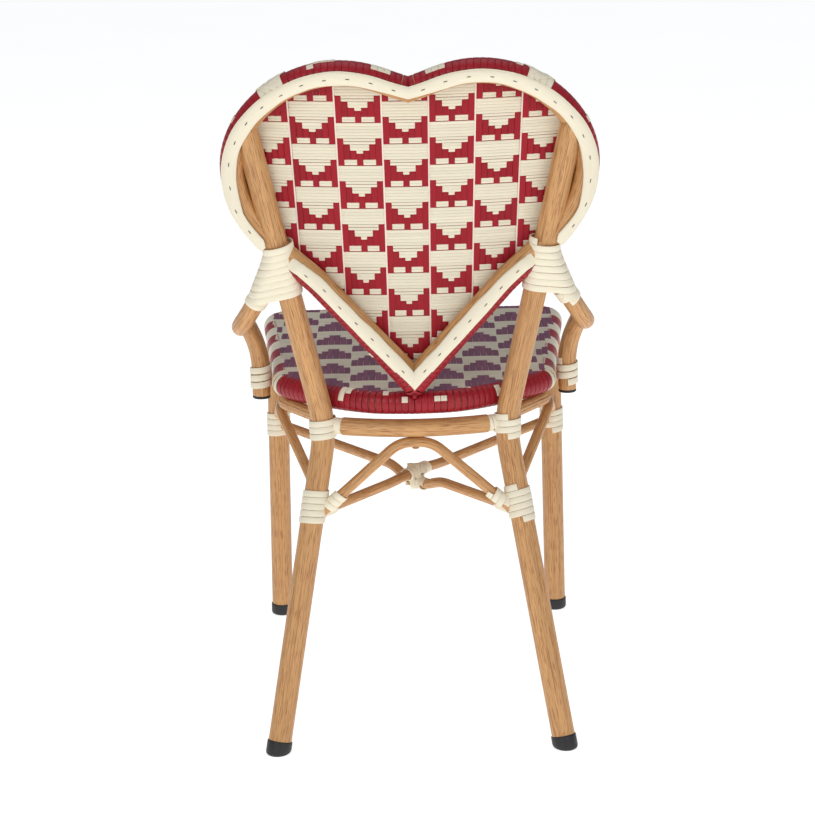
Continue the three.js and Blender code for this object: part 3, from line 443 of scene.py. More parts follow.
def framed(line, ups):
    """Two normals at each point of a line, the first as near as can be to a direction given there"""
    t = directions(line)
    n = unit(ups - t * np.sum(ups * t, 1, keepdims=True))
    return n, np.cross(t, n)


def circle(radius, count):
    a = np.linspace(0, 2 * math.pi, count, endpoint=False)
    return np.stack([np.cos(a), np.sin(a)], 1) * radius


def turned(centre, profile, count):
    """Level rings round a point, from rows of height and radius"""
    return [centre + (0, 0, z) + np.pad(circle(r, count), ((0, 0), (0, 1))) for z, r in profile]


def strip_section(width, thick, edge=0.7):
    """A flat strip with rounded edges: thickness first, then width"""
    h, w = thick / 2, width / 2
    return [(0, -w), (h * 0.8, -w + edge * 0.4), (h, -w + edge), (h * 1.1, 0), (h, w - edge),
            (h * 0.8, w - edge * 0.4), (0, w), (-h, w - edge), (-h, -w + edge)]


def tube(name, node, line, radius, around, up=(0, -1, 0), ease=1.0):
    """Makes a wood-print tube whose rim is eased at both ends"""
    first, last = unit(line[1] - line[0]) * ease, unit(line[-1] - line[-2]) * ease
    part = 0.3
    whole = np.vstack([line[0], line[0] + first * part, line[0] + first, line[1:-1],
                       line[-1] - last, line[-1] - last * part, line[-1]])
    size = np.ones(len(whole))
    size[0] = size[-1] = 1 - ease / radius
    size[1] = size[-2] = 1 - ease * part / radius
    Piece(name, "wood").skin(swept(whole, circle(radius, around), up, size)).make(node)


def add(tree, kind, inputs=None, **settings):
    """Adds a node with its settings, and links or sets its inputs"""
    node = tree.nodes.new(kind)
    for key, value in settings.items():
        setattr(node, key, value)
    for key, value in (inputs or {}).items():
        if isinstance(value, bpy.types.NodeSocket):
            tree.links.new(value, node.inputs[key])
        else:
            node.inputs[key].default_value = value
    return node


def new_finish(name):
    finish = bpy.data.materials.new(name)
    finish.use_nodes = True
    tree = finish.node_tree
    return finish, tree, tree.nodes["Principled BSDF"]


def ramp(tree, factor, *stops):
    node = add(tree, "ShaderNodeValToRGB", {"Fac": factor})
    while len(node.color_ramp.elements) < len(stops):
        node.color_ramp.elements.new(0.5)
    for element, (place, colour) in zip(node.color_ramp.elements, stops):
        element.position = place
        element.color = colour
    return node.outputs["Color"]


def shade(colour, factor):
    return tuple(c * factor for c in colour[:3]) + (1.0,)


def settle(tree, surface, colour, height, strength, distance, roughness):
    """Links a finish's colour and its relief, and sets its roughness"""
    tree.links.new(colour, surface.inputs["Base Color"])
    relief = add(tree, "ShaderNodeBump", {"Height": height, "Strength": strength, "Distance": distance})
    tree.links.new(relief.outputs[0], surface.inputs["Normal"])
    surface.inputs["Roughness"].default_value = roughness


def wood_print_aluminium():
    """Powder-coated aluminium tube with a transfer-printed wood grain: satin, with fine dark
    streaks along the tube and a slow change of tone"""
    tubes = bpy.context.scene.chair_tubes
    finish, tree, surface = new_finish("wood_print_powder_coated_aluminium")
    uv = add(tree, "ShaderNodeUVMap", uv_map="length").outputs["UV"]
    place = add(tree, "ShaderNodeObjectInfo").outputs["Random"]
    slid = add(tree, "ShaderNodeVectorMath", {0: uv, 1: place}, operation="ADD").outputs[0]
    # Bands about 4 mm wide, streaks 1.3 mm wide and 90 mm long, and pores 0.9 mm wide and 18 mm long
    broad = add(tree, "ShaderNodeMapping", {"Vector": slid, "Scale": (1 / 0.0045, 1 / 0.16, 1)})
    streak = add(tree, "ShaderNodeMapping", {"Vector": slid, "Scale": (1 / 0.0013, 1 / 0.09, 1)})
    pore = add(tree, "ShaderNodeMapping", {"Vector": slid, "Scale": (1 / 0.0009, 1 / 0.018, 1)})
    slow = add(tree, "ShaderNodeTexNoise", {"Vector": broad.outputs[0], "Scale": 1, "Detail": 2})
    fine = add(tree, "ShaderNodeTexNoise", {"Vector": streak.outputs[0], "Scale": 1, "Detail": 3,
                                            "Distortion": 0.15})
    dots = add(tree, "ShaderNodeTexNoise", {"Vector": pore.outputs[0], "Scale": 1, "Detail": 1})
    wood, grain = tuple(tubes.wood), tuple(tubes.grain)
    base = ramp(tree, slow.outputs["Fac"], (0.3, shade(wood, 0.88)), (0.52, wood),
                (0.72, shade(wood, 1.12)))
    lines = ramp(tree, fine.outputs["Fac"], (0.34, (0.55, 0.55, 0.55, 1)), (0.48, (0, 0, 0, 1)))
    specks = ramp(tree, dots.outputs["Fac"], (0.34, (0.7, 0.7, 0.7, 1)), (0.46, (0, 0, 0, 1)))
    streaked = add(tree, "ShaderNodeMix", {"Factor": lines, "A": base, "B": grain}, data_type="RGBA")
    speckled = add(tree, "ShaderNodeMix", {"Factor": specks, "A": streaked.outputs["Result"], "B": grain},
                   data_type="RGBA")
    height = add(tree, "ShaderNodeMath", {0: fine.outputs["Fac"], 1: dots.outputs["Fac"]}, operation="ADD")
    settle(tree, surface, speckled.outputs["Result"], height.outputs[0], 0.25, 0.0002, roughness=0.42)
    return finish


def strand(name, colour, roughness, spread, line_width=0.0008, relief_size=0.0001, gloss=0.3, coat=0.0):
    """Extruded polyethylene: faint lines along it, and a tone of its own for each strand"""
    finish, tree, surface = new_finish(name)
    uv = add(tree, "ShaderNodeUVMap", uv_map="length").outputs["UV"]
    tone = add(tree, "ShaderNodeAttribute", attribute_name="tone").outputs["Fac"]
    drawn = add(tree, "ShaderNodeMapping", {"Vector": uv, "Scale": (1 / line_width, 1 / 0.03, 1)})
    lines = add(tree, "ShaderNodeTexNoise", {"Vector": drawn.outputs[0], "Scale": 1, "Detail": 3})
    both = add(tree, "ShaderNodeMath", {0: lines.outputs["Fac"], 1: tone}, operation="ADD")
    half = add(tree, "ShaderNodeMath", {0: both.outputs[0], 1: 0.5}, operation="MULTIPLY")
    colour_out = ramp(tree, half.outputs[0], (0.3, shade(colour, 1 - spread)), (0.5, colour),
                      (0.7, shade(colour, 1 + spread)))
    settle(tree, surface, colour_out, lines.outputs["Fac"], 0.5, relief_size, roughness)
    surface.inputs["Specular IOR Level"].default_value = gloss
    surface.inputs["Coat Weight"].default_value = coat
    surface.inputs["Coat Roughness"].default_value = 0.15
    return finish


def moulded_nylon():
    """Injection-moulded black nylon: matt, with a fine spark texture"""
    finish, tree, surface = new_finish("moulded_black_nylon")
    place = add(tree, "ShaderNodeTexCoord").outputs["Object"]
    grit = add(tree, "ShaderNodeTexNoise", {"Vector": place, "Scale": 1 / 0.0012, "Detail": 3})
    tone = ramp(tree, grit.outputs["Fac"], (0.3, linear("151516")), (0.7, linear("242426")))
    settle(tree, surface, tone, grit.outputs["Fac"], 0.3, 0.0001, roughness=0.5)
    return finish


def plated_steel(name, colour, roughness):
    """Plated steel wire and screw heads: dull metal with faint cloudy wear"""
    finish, tree, surface = new_finish(name)
    place = add(tree, "ShaderNodeTexCoord").outputs["Object"]
    wear = add(tree, "ShaderNodeTexNoise", {"Vector": place, "Scale": 1 / 0.002, "Detail": 4})
    tone = ramp(tree, wear.outputs["Fac"], (0.3, shade(colour, 0.75)), (0.7, colour))
    tree.links.new(tone, surface.inputs["Base Color"])
    surface.inputs["Metallic"].default_value = 1.0
    surface.inputs["Roughness"].default_value = roughness
    return finish


finishes = {}


def finish_of(key):
    if not finishes:
        weave = bpy.context.scene.chair_weave
        cream, red = tuple(weave.cream), tuple(weave.red)
        finishes["wood"] = wood_print_aluminium()
        # The strip is duller than the strands, and both show faint drawn lines
        finishes["strip"] = strand("extruded_cream_polyethylene_strip", cream, 0.48, 0.06,
                                   line_width=0.0011, relief_size=0.00012)
        finishes["cream"] = strand("extruded_cream_polyethylene_strand", shade(cream, 0.93), 0.42, 0.07,
                                   line_width=0.0007)
        finishes["red"] = strand("extruded_red_polyethylene_strand", red, 0.5, 0.14, line_width=0.001,
                                 gloss=0.2)
        # The strands that are pulled round the tubes keep their gloss
        finishes["drawn"] = strand("drawn_red_polyethylene_strand", red, 0.4, 0.12, line_width=0.0016,
                                   relief_size=0.00012, gloss=0.25, coat=0.12)
        # The seat's red strands are painted a darker plum, a painted sheen and painted shade, and its cream
        # ones are painted darker, a painted shade from the back over the seat
        finishes["painted_sheen_plum"] = strand("seat_red_polyethylene_strand_painted_sheen_and_shade", linear("7d4760"), 0.5, 0.2,
                                  line_width=0.001)
        finishes["painted_shade_cream"] = strand("seat_cream_polyethylene_strand_painted_shade", shade(cream, 0.8), 0.5, 0.08)
        finishes["blush"] = strand("extruded_blush_polyethylene_strand", tuple(weave.blush), 0.42, 0.06)
        finishes["nylon"] = moulded_nylon()
        finishes["copper"] = plated_steel("copper_tinted_zinc_plated_steel", linear("c08f6a"), 0.35)
        finishes["wire"] = plated_steel("zinc_plated_staple_wire", linear("5e5a54"), 0.45)
    return finishes[key]


def heart_half(steps=26):
    """Right half of the heart's centre line, from the tip round to the cleft, as (across, up)"""
    tip, side, wide, top, cleft = (np.array(p, float) for p in
                                   (HEART_TIP, HEART_SIDE, HEART_WIDE, HEART_TOP, HEART_CLEFT))
    slope = unit(side - tip)
    lower = np.linspace(tip, side, 12, endpoint=False)
    below, above = WIDE_REACH
    outward, inward = TOP_REACH
    curve = bezier(side, side + slope * SIDE_REACH, wide - (0, below), wide, steps=steps)[:-1]
    lobe = bezier(wide, wide + (0, above), top + (outward, 0), top, steps=steps)[:-1]
    notch = bezier(top, top - (inward, 0), cleft + (inward, CLEFT_RISE), cleft, steps=12)
    return np.vstack([lower, curve, lobe, notch])


HEART = heart_half()


def heart_frames(step, over=0):
    """Even stations round half the heart, and some over its ends: points and outward directions"""
    line = evenly(HEART, step)
    first, last = line[0] - line[1], line[-1] - line[-2]
    runs = np.arange(1, over + 1)[:, None]
    line = np.vstack([line[0] + first * runs[::-1], line, line[-1] + last * runs])
    along = directions(line)
    out = np.stack([along[:, 1], -along[:, 0]], 1)
    return line, out


def off_heart(line, out, side, across, rear):
    """World points off the heart's centre line, outward in its plane and out through its rear. What would
    cross the middle slides along the line until it meets the middle"""
    x = line[:, 0] + out[:, 0] * across
    v = line[:, 1] + out[:, 1] * across
    slide = np.where(x < 0, x / np.where(np.abs(out[:, 1]) < 0.05, 0.05, -out[:, 1]), 0)
    x, v = np.maximum(x, 0), v - slide * out[:, 0]
    return mirror(on_back(np.stack([x, bow(line[:, 0]) + rear, v], 1)), side)


def around_heart(line, out, side, radius, angle):
    """A point on a circle round the heart's tube: angle 0 is outward and 90 degrees is the rear"""
    return off_heart(line, out, side, radius * np.cos(angle), radius * np.sin(angle))


def post_beside(v):
    """How far out the post stands at a height on the back"""
    return POST_CROSS[0] + (v - POST_CROSS[2]) * POST_LEAN


def clear_of_wrap(line, reach):
    """Where the heart's line runs clear of the binding on the post, by so much beside the post's axis"""
    return (post_beside(line[:, 1]) - line[:, 0] > reach) | (line[:, 1] > WRAP_TOP_V)


def stretches(keep):
    """First and last index of each unbroken run of true values"""
    edges = np.flatnonzero(np.diff(np.concatenate([[0], keep.astype(int), [0]])))
    return [(a, b - 1) for a, b in zip(edges[::2], edges[1::2]) if b - a > 1]


def on_bow(line):
    """World points of the heart's centre line, or of one like it, given as (across, up)"""
    return on_back(np.stack([line[:, 0], bow(line[:, 0]), line[:, 1]], 1))


def post_corners(side):
    foot, knee = points(REAR_FOOT, KNEE)
    foot = foot + unit(knee - foot) * TUBE_START
    upper = on_back([POST_CROSS, POST_TOP])
    return mirror(np.vstack([foot, knee, upper]), side)


def leg_at(z, foot=REAR_FOOT, top=KNEE):
    """A point at a height on a leg's axis"""
    foot, top = points(foot, top)
    return foot + (top - foot) * z / top[2]


def front_at(z):
    return leg_at(z, FRONT_FOOT, FRONT_TOP)


def stay_line(side):
    share = STAY_ROOT_V / POST_CROSS[2]
    root = (POST_START_X + (POST_CROSS[0] - POST_START_X) * share, POST_CROSS[1] * share, STAY_ROOT_V)
    neck = (STAY_NECK[0], POST_CROSS[1] * STAY_NECK[1] / POST_CROSS[2], STAY_NECK[1])
    rest = points(STAY_ELBOW, STAY_TURN, (STAY_END[0], STAY_END[1], STAY_DROP), STAY_END)
    return mirror(bent(np.vstack([on_back([root, neck]), rest]), STAY_BEND), side)


def seat_half():
    """Right half of the seat's outline, from the middle of the front to the middle of the rear"""
    front = bezier((SEAT_FRONT_X - SEAT_CORNER, SEAT_FRONT_Y), (SEAT_FRONT_X, SEAT_FRONT_Y),
                   (SEAT_FRONT_X, SEAT_FRONT_Y + SEAT_CORNER), steps=12)[:-1]
    return np.vstack([np.linspace((0, SEAT_FRONT_Y), front[0], 12, endpoint=False), front,
                      spline(SEAT_SIDE, 14)])


def seat_inset(by):
    """Right half of the seat's outline, moved inward"""
    line = seat_half()
    d = directions(line)
    moved = line + np.stack([-d[:, 1], d[:, 0]], 1) * by
    moved[0, 0] = moved[-1, 0] = 0
    return moved


def ring_half():
    return seat_inset(RING_RADIUS + COVER)


def seat_ring(step):
    """The seat ring's centre line, all round, with its outward direction"""
    half = ring_half()
    other = half[::-1] * (-1, 1)
    whole = np.vstack([half, other[1:]])
    line = evenly(whole, step)[:-1]
    ahead, behind = np.roll(line, -1, 0), np.roll(line, 1, 0)
    d = unit(ahead - behind)
    return line, np.stack([d[:, 1], -d[:, 0]], 1)


def crossings(outline, axis, value):
    """Stretches of a closed outline on the line where one coordinate has a value"""
    a, b = outline, np.roll(outline, -1, 0)
    other = 1 - axis
    hit = (a[:, axis] > value) != (b[:, axis] > value)
    t = (value - a[hit, axis]) / (b[hit, axis] - a[hit, axis])
    cuts = np.sort(a[hit, other] + t * (b[hit, other] - a[hit, other]))
    return list(zip(cuts[::2], cuts[1::2]))


def back_row_v(row):
    """Height up the back of a weft row, counted down from the foot of a motif; rows widen downward"""
    n = row / MOTIF_ROWS
    return 362.9 - 53.4 * n - 0.4 * n * n


# Upright strands of a column that show over each row of a motif, down from its top; the last five rows
# are all cream
BACK_MOTIF = ("06", "06", "0156", "0156", "012456", "0123456", "0123456", "036", "036")


def back_motif(place, row):
    step = (row + BACK_FIRST_ROW) % MOTIF_ROWS
    return step < len(BACK_MOTIF) and str(place) in BACK_MOTIF[step]


def woven(piece, strands, rows, over, place):
    """Interlaces strands and rows: over(strand, row) says which lies on top, and place gives a member's
    line and normal"""
    flat = np.array(strip_section(1, 1, 0.06))
    strands, rows = (sorted(members, key=lambda one: one["at"]) for members in (strands, rows))
    for kind, members, crossers in (("strand", strands, rows), ("row", rows, strands)):
        for member in members:
            for lo, hi in member["spans"]:
                inside = [c for c in crossers if lo < c["at"] < hi]
                if len(inside) < 2:
                    continue
                ends = [lo] + [c["at"] for c in inside] + [hi]
                up = 1 if kind == "strand" else -1
                level = {c["at"]: up if over(*((member, c)[::up])) else -up for c in inside}
                # A member is level over the middle of each crosser, and slopes in between
                reaches = {c["at"]: 0.3 * c["width"] for c in inside}
                stops, heights = [ends[0]], [level[ends[1]]]
                for at in ends[1:-1]:
                    stops += [at - reaches[at], at + reaches[at]]
                    heights += [level[at], level[at]]
                stops.append(ends[-1])
                heights.append(heights[-1])
                stops, heights = np.array(stops), np.array(heights, float) * WEAVE_LIFT
                order = np.argsort(stops, kind="stable")
                stops, heights = stops[order], heights[order]
                line, normal = place(kind, member, stops, heights)
                section = flat * (member["thick"], member["width"])
                piece.skin(swept(line, section, normal), tone=member["tone"], finish=member["finish"])


def tone_of(*key):
    """A tone from a quarter to three quarters, always the same for the same key"""
    return 0.5 + 0.5 * (random.Random(str(key)).random() - 0.5)


class CHAIR_OT_posts(bpy.types.Operator):
    """Add the rear posts and the front legs"""
    bl_idname = "chair.posts"
    bl_label = "Posts and Legs"

    def execute(self, context):
        tubes = context.scene.chair_tubes
        radius = tubes.main / MM / 2
        foot, top = points(FRONT_FOOT, FRONT_TOP)
        ends = [foot + unit(top - foot) * TUBE_START, top - (0, 0, LEG_TOP_GAP)]
        leg = evenly(np.vstack(ends), POST_STATION)
        for name, side in SIDES:
            post = evenly(bent(post_corners(side), KNEE_BEND, steps=14), POST_STATION)
            tube(f"back_post_tube_{name}", f"rear_post_{name}", post, radius, tubes.around)
            tube(f"front_leg_tube_{name}", f"front_leg_{name}", mirror(leg, side), radius, tubes.around)
        return {"FINISHED"}


class CHAIR_OT_caps(bpy.types.Operator):
    """Add the foot caps and the plugs of the side stays"""
    bl_idname = "chair.caps"
    bl_label = "Caps and Plugs"

    def execute(self, context):
        tubes = context.scene.chair_tubes
        outer = tubes.main / MM / 2 + CAP_PROUD
        for kind, foot, top in (("rear", REAR_FOOT, KNEE), ("front", FRONT_FOOT, FRONT_TOP)):
            for name, side in SIDES:
                low, high = mirror(points(foot, top), side)
                axis = unit(high - low)
                rings = []
                for run, size in CAP_PROFILE:
                    ring = swept(np.vstack([low + axis * run, low + axis * (run + 1)]),
                                 circle(outer * size, tubes.around), (0, 1, 0))[0]
                    slide = run - ring[:, 2] if run < CAP_LEVEL else np.zeros(len(ring))
                    rings.append(ring + axis * (slide / axis[2])[:, None])
                Piece(f"{kind}_leg_cap_{name}", "nylon").skin(rings).make(
                    f"{kind}_foot_cap_{name}", crease=50)
        stay = tubes.stay / MM / 2
        profile = [(z, stay * size) for z, size in PLUG_PROFILE]
        for name, side in SIDES:
            end = mirror(points(STAY_END), side)[0]
            Piece(f"stay_end_plug_{name}", "nylon").skin(turned(end, profile, tubes.around)).make(
                f"stay_plug_{name}", crease=50)
        return {"FINISHED"}


class CHAIR_OT_heart(bpy.types.Operator):
    """Add the tube that is bent to a heart"""
    bl_idname = "chair.heart"
    bl_label = "Heart Tube"

    def execute(self, context):
        tubes = context.scene.chair_tubes
        radius = tubes.main / MM / 2
        for name, side in SIDES:
            world = mirror(on_bow(evenly(HEART, HEART_STATION)), side)
            rings = swept(world, circle(radius, tubes.around), (0, -1, 0.1))
            # Both ends are cut at the middle plane
            for end, inner in ((0, 1), (-1, -2)):
                run = world[end] - world[inner]
                rings[end] -= (rings[end][:, :1] / run[0]) * run
            Piece(f"heart_tube_{name}", "wood").skin(rings).make(f"heart_lobe_{name}", f"heart_side_{name}")
        return {"FINISHED"}


class CHAIR_OT_back_panel(bpy.types.Operator):
    """Weave the panel inside the heart"""
    bl_idname = "chair.back_panel"
    bl_label = "Back Weave"

    def execute(self, context):
        weave = context.scene.chair_weave
        strand_pitch, filler = weave.strand / MM, weave.filler / MM
        column = BACK_STRANDS * strand_pitch + filler
        outline = np.vstack([HEART, HEART[-2:0:-1] * (-1, 1)])
        depth = -context.scene.chair_tubes.main / MM / 2 - WEAVE_GAP

        def fan(v):
            return 1 + FAN_RATE * (v - FAN_LEVEL)

        def strand_span(x):
            """Where a strand meets the heart, given that it stands farther out at the top"""
            span = SPAN_START
            for _ in range(4):
                found = [crossings(outline, 0, x * fan(v)) for v in span]
                if not all(found):
                    return []
                span = (found[0][0][0], found[1][0][1])
            return [span]

        strands, rows = [], []
        for col in BACK_COLUMNS:
            centre = BACK_COLUMN_X + col * column
            for place in range(-1, BACK_STRANDS):
                thin = place < 0
                x = centre - column / 2 if thin else centre + (place - 3) * strand_pitch
                strands.append({"at": x, "column": col, "place": place, "spans": strand_span(x),
                                "width": filler + 0.3 if thin else strand_pitch - 0.08, "thick": 0.9,
                                "finish": 2 if thin else 0, "tone": tone_of("back", col, place)})
        for row in BACK_ROWS:
            v = back_row_v(row)
            spans = [(lo / fan(v), hi / fan(v)) for lo, hi in crossings(outline, 1, v)]
            pitch = v - back_row_v(row + 1)
            # The rows over the ends of the red strands are narrower
            slack = 0.5 if (row + BACK_FIRST_ROW) % HALF_MOTIF < 2 else 0.03
            rows.append({"at": v, "row": row, "spans": spans, "width": pitch - slack, "thick": 0.8,
                         "finish": 1, "tone": tone_of("row", row)})

        def over(one, row):
            if one["place"] < 0:
                return True
            return back_motif(one["place"], row["row"] + (HALF_MOTIF if one["column"] % 2 else 0))

        def place(kind, member, stops, heights):
            if kind == "strand":
                v = stops
                x = member["at"] * fan(v)
            else:
                # The two rows over the red strands' ends are pushed up, so that a slit of red shows below
                x = stops * fan(member["at"])
                odd = np.round((stops - BACK_COLUMN_X) / column) % 2
                step = (member["row"] + HALF_MOTIF * odd + BACK_FIRST_ROW) % MOTIF_ROWS
                v = member["at"] + sum(np.where(step == one, push, 0.0) for one, push in PUSHED.items())
            world = on_back(np.stack([x, bow(x) + depth + heights, v], 1))
            normal = on_back([(0, 1, 0)])[0] - on_back([(0, 0, 0)])[0]
            return world, normal

        piece = Piece("woven_back_panel", "red", "cream", "blush")
        woven(piece, strands, rows, over, place)
        piece.make("back_weave", crease=60)
        return {"FINISHED"}


# Where cream strands show on the red roll: side, place on the back, strands, from and to round the tube,
# and how many strands each crosses on its way
ROLL_PATCHES = ((1, 150, 430, 4, -35, 75, 0), (1, 160, 424, 1, -30, 60, 3), (1, 150, 434, 1, -38, 40, -3),
                (1, 142, 436, 1, -30, 30, -2), (1, 32, 455, 3, 0, 34, 0), (1, 112, 450, 1, 12, 38, 0),
                (1, 97, 456, 3, -32, 8, 0), (1, 192, 392, 1, -12, 18, 0), (1, 3, 436, 1, -30, 70, 0),
                (1, 40, 115, 1, -5, 35, 0),
                (-1, 143, 434, 4, -35, 75, 0), (-1, 150, 430, 1, -25, 50, 3),
                (-1, 136, 440, 1, -30, 50, -2), (-1, 38, 455, 3, 0, 34, 0), (-1, 124, 446, 1, -14, 10, 0),
                (-1, 197, 385, 1, -5, 22, 0), (-1, 3, 436, 1, -30, 70, 0))


class CHAIR_OT_back_roll(bpy.types.Operator):
    """Roll the strands of the back round the heart tube"""
    bl_idname = "chair.back_roll"
    bl_label = "Back Roll"

    def execute(self, context):
        weave = context.scene.chair_weave
        pitch = weave.strand / MM
        radius = context.scene.chair_tubes.main / MM / 2 + ROLL_THICKNESS / 2
        piece = Piece("back_edge_roll", "drawn", "cream")
        section = strip_section(pitch - 0.1, ROLL_THICKNESS, 0.5)
        line, out = heart_frames(pitch, over=4)
        # The roll is fuller on the lower sides, most of all near the tip, where the strands gather
        sides, tip = ROLL_FULLER
        fuller = sides + tip * np.exp(-(line[:, 0] / ROLL_TIP_WIDTH) ** 2)
        full = radius + (line[:, 1] < ROLL_LOWER_V) * fuller
        marks = np.arange(len(line))

        def turn(i, side, low, high, lift, slant, tone, finish):
            """Lays a strand round the tube at a station, lifted off the others and slanted by stations"""
            angles = np.radians(np.linspace(low, high, 17))
            places = np.clip(i + np.linspace(-0.5, 0.5, len(angles)) * slant, 1, len(line) - 2)
            # The strand itself, its axis, and the lines a station before and after it, which give its width
            arcs = []
            for shift, out_by in ((0, 1), (0, 0), (-1, 1), (1, 1)):
                at = places + shift
                spot = np.stack([np.interp(at, marks, line[:, k]) for k in (0, 1)], 1)
                face = unit(np.stack([np.interp(at, marks, out[:, k]) for k in (0, 1)], 1))
                reach = (np.interp(at, marks, full) + lift) * out_by
                arcs.append(around_heart(spot, face, side, reach, angles))
            arc, centre, before, after = arcs
            if np.abs(arc[:, 0]).max() > 0.5:
                spacing = np.linalg.norm(after - before, axis=1) / (2 * pitch)
                piece.skin(swept(arc, section, arc - centre, np.clip(spacing, 0.6, 1.3)), tone, finish)

        first, last = ROLL_ENDS
        start, whole = (clear_of_wrap(line, reach) for reach in ROLL_CLEAR)
        for _, side in SIDES:
            for i in np.flatnonzero(start)[1:-1]:
                # Beside the post and by the binding, the strands end under the trim's edge
                short = WRAP_TOP_V < line[i, 1] < ROLL_SHORT_V or not whole[i]
                turn(i, side, first, ROLL_SHORT_END if short else last, 0, 0, tone_of("roll", side, i), 0)
            for which, x, v, strands, low, high, slant in ROLL_PATCHES:
                if which == side:
                    near = int(np.argmin(np.hypot(line[:, 0] - x, line[:, 1] - v))) - strands // 2
                    for i in range(near, near + strands):
                        turn(i, side, low, high, 1.5 if slant else 0.8, slant, tone_of("patch", side, i), 1)
        piece.make(crease=60)
        return {"FINISHED"}


TRIM_STEP = 4
# Stations between two staples, and how far out from the post's axis the trim stays, up to a height
STAPLE_EVERY = 7
TRIM_POST_GAP = 11
TRIM_POST_TOP_V = 300
# The trim drops off by the square of the way across over these, toward its inner and its outer edge
TRIM_BENDS = (34, 42)
# Half its thickness, and how much its edges are eased
TRIM_HALF = 0.55
TRIM_EASE = 0.4
# Under the binding it dips, the more the nearer it is to the post's axis: from, most, and how steeply
TRIM_DIP = (19, 13, 0.7)
# Two strips on one another: height over the tube, and what the edges stand in or out by
TRIM_LAYERS = ((0.3, 0.0, 0.0), (1.35, 0.5, -1.5))
# Edges of the trim off the heart's centre line, by the way round from the tip: run, inner edge, outer edge
TRIM_EDGES = ((0, -11, 6.5), (150, -10.4, 6.5), (200, -9, 6), (250, 0, 15), (296, 1.4, 15.5),
              (328, -3.5, 15), (360, -5.7, 13.2), (392, -7, 12), (424, -8, 10), (470, -10, 8),
              (560, -10, 6.7), (600, -9, 7), (636, -6, 8))


class CHAIR_OT_trim(bpy.types.Operator):
    """Staple the cream trim over the ends of the weave"""
    bl_idname = "chair.trim"
    bl_label = "Back Trim"

    def execute(self, context):
        radius = context.scene.chair_tubes.main / MM / 2 + COVER
        over = 8
        line, out = heart_frames(TRIM_STEP, over)
        run = (np.arange(len(line)) - over) * TRIM_STEP
        places, inner, outer = np.array(TRIM_EDGES, float).T
        low, top = np.interp(run, places, inner), np.interp(run, places, outer)
        # Beside the post the strip keeps clear of it
        past = line[:, 0] - post_beside(line[:, 1])
        beside = (line[:, 1] > WRAP_TOP_V) & (line[:, 1] < TRIM_POST_TOP_V)
        low = np.where(beside, np.maximum(low, (TRIM_POST_GAP - past) / np.maximum(out[:, 0], 0.3)), low)
        # It dips under the binding
        dip_from, most, steep = TRIM_DIP
        sink = np.where(line[:, 1] < WRAP_TOP_V, np.clip(dip_from + past, 0, most), 0) * steep
        # Where one edge at least stands outside the middle plane
        reached = np.maximum(line[:, 0] + out[:, 0] * low, line[:, 0] + out[:, 0] * top) > -TRIM_STEP
        share = np.linspace(0, 1, 9)
        shares = np.concatenate([share, share[::-1]])
        eased = TRIM_HALF - TRIM_EASE * np.abs(2 * share - 1) ** 8
        lifts = np.concatenate([eased, np.full(len(share), -TRIM_HALF)])
        unbound = clear_of_wrap(line, 16)

        def rear(across, at):
            """How far the strip lies behind the heart's centre line: it drops off toward its edges"""
            return radius - across ** 2 / np.where(across < 0, *TRIM_BENDS) - sink[at]

        piece = Piece("back_trim_strips", "strip")
        pins = Piece("trim_staples", "wire")
        for _, side in SIDES:
            for first, last in stretches(clear_of_wrap(line, 2)):
                some = np.arange(first, last + 1)
                some = some[reached[some]]
                for layer, (lift, near, far) in enumerate(TRIM_LAYERS):
                    # The strips were laid by hand, so their edges wander by half a millimetre
                    wander = 0.5 * np.sin(run / 19 + side) + 0.3 * np.sin(run / 7.3 + layer)
                    start, end = low + near + wander, top + far - wander * (0.4 + layer * 0.6)
                    rings = []
                    for part, up in zip(shares, lifts):
                        across = (start + (end - start) * part)[some]
                        rings.append(off_heart(line[some], out[some], side, across,
                                               rear(across, some) + lift + up))
                    piece.skin(np.stack(rings, 1), tone=tone_of("trim", layer))
            for i in range(over + 5, len(line) - over - 3, STAPLE_EVERY):
                if not unbound[i]:
                    continue
                at = (low[i] + top[i]) / 2 + 4 * (tone_of("pin", side, i) - 0.5)
                ends = [off_heart(line[j:j + 1], out[j:j + 1], side, np.array([at]),
                                  np.array([rear(at, i) + 2.0]))[0] for j in (i, i + 1)]
                face = unit(ends[0] - mirror(on_bow(line[i:i + 1]), side)[0])
                bar = bent([ends[0] - face * 2, ends[0], ends[1], ends[1] - face * 2], 0.6, 4)
                pins.skin(swept(bar, circle(0.55, 8), unit(np.cross(ends[1] - ends[0], face))))
        piece.make("back_trim_upper", "back_trim_lower", crease=50)
        pins.make()
        return {"FINISHED"}


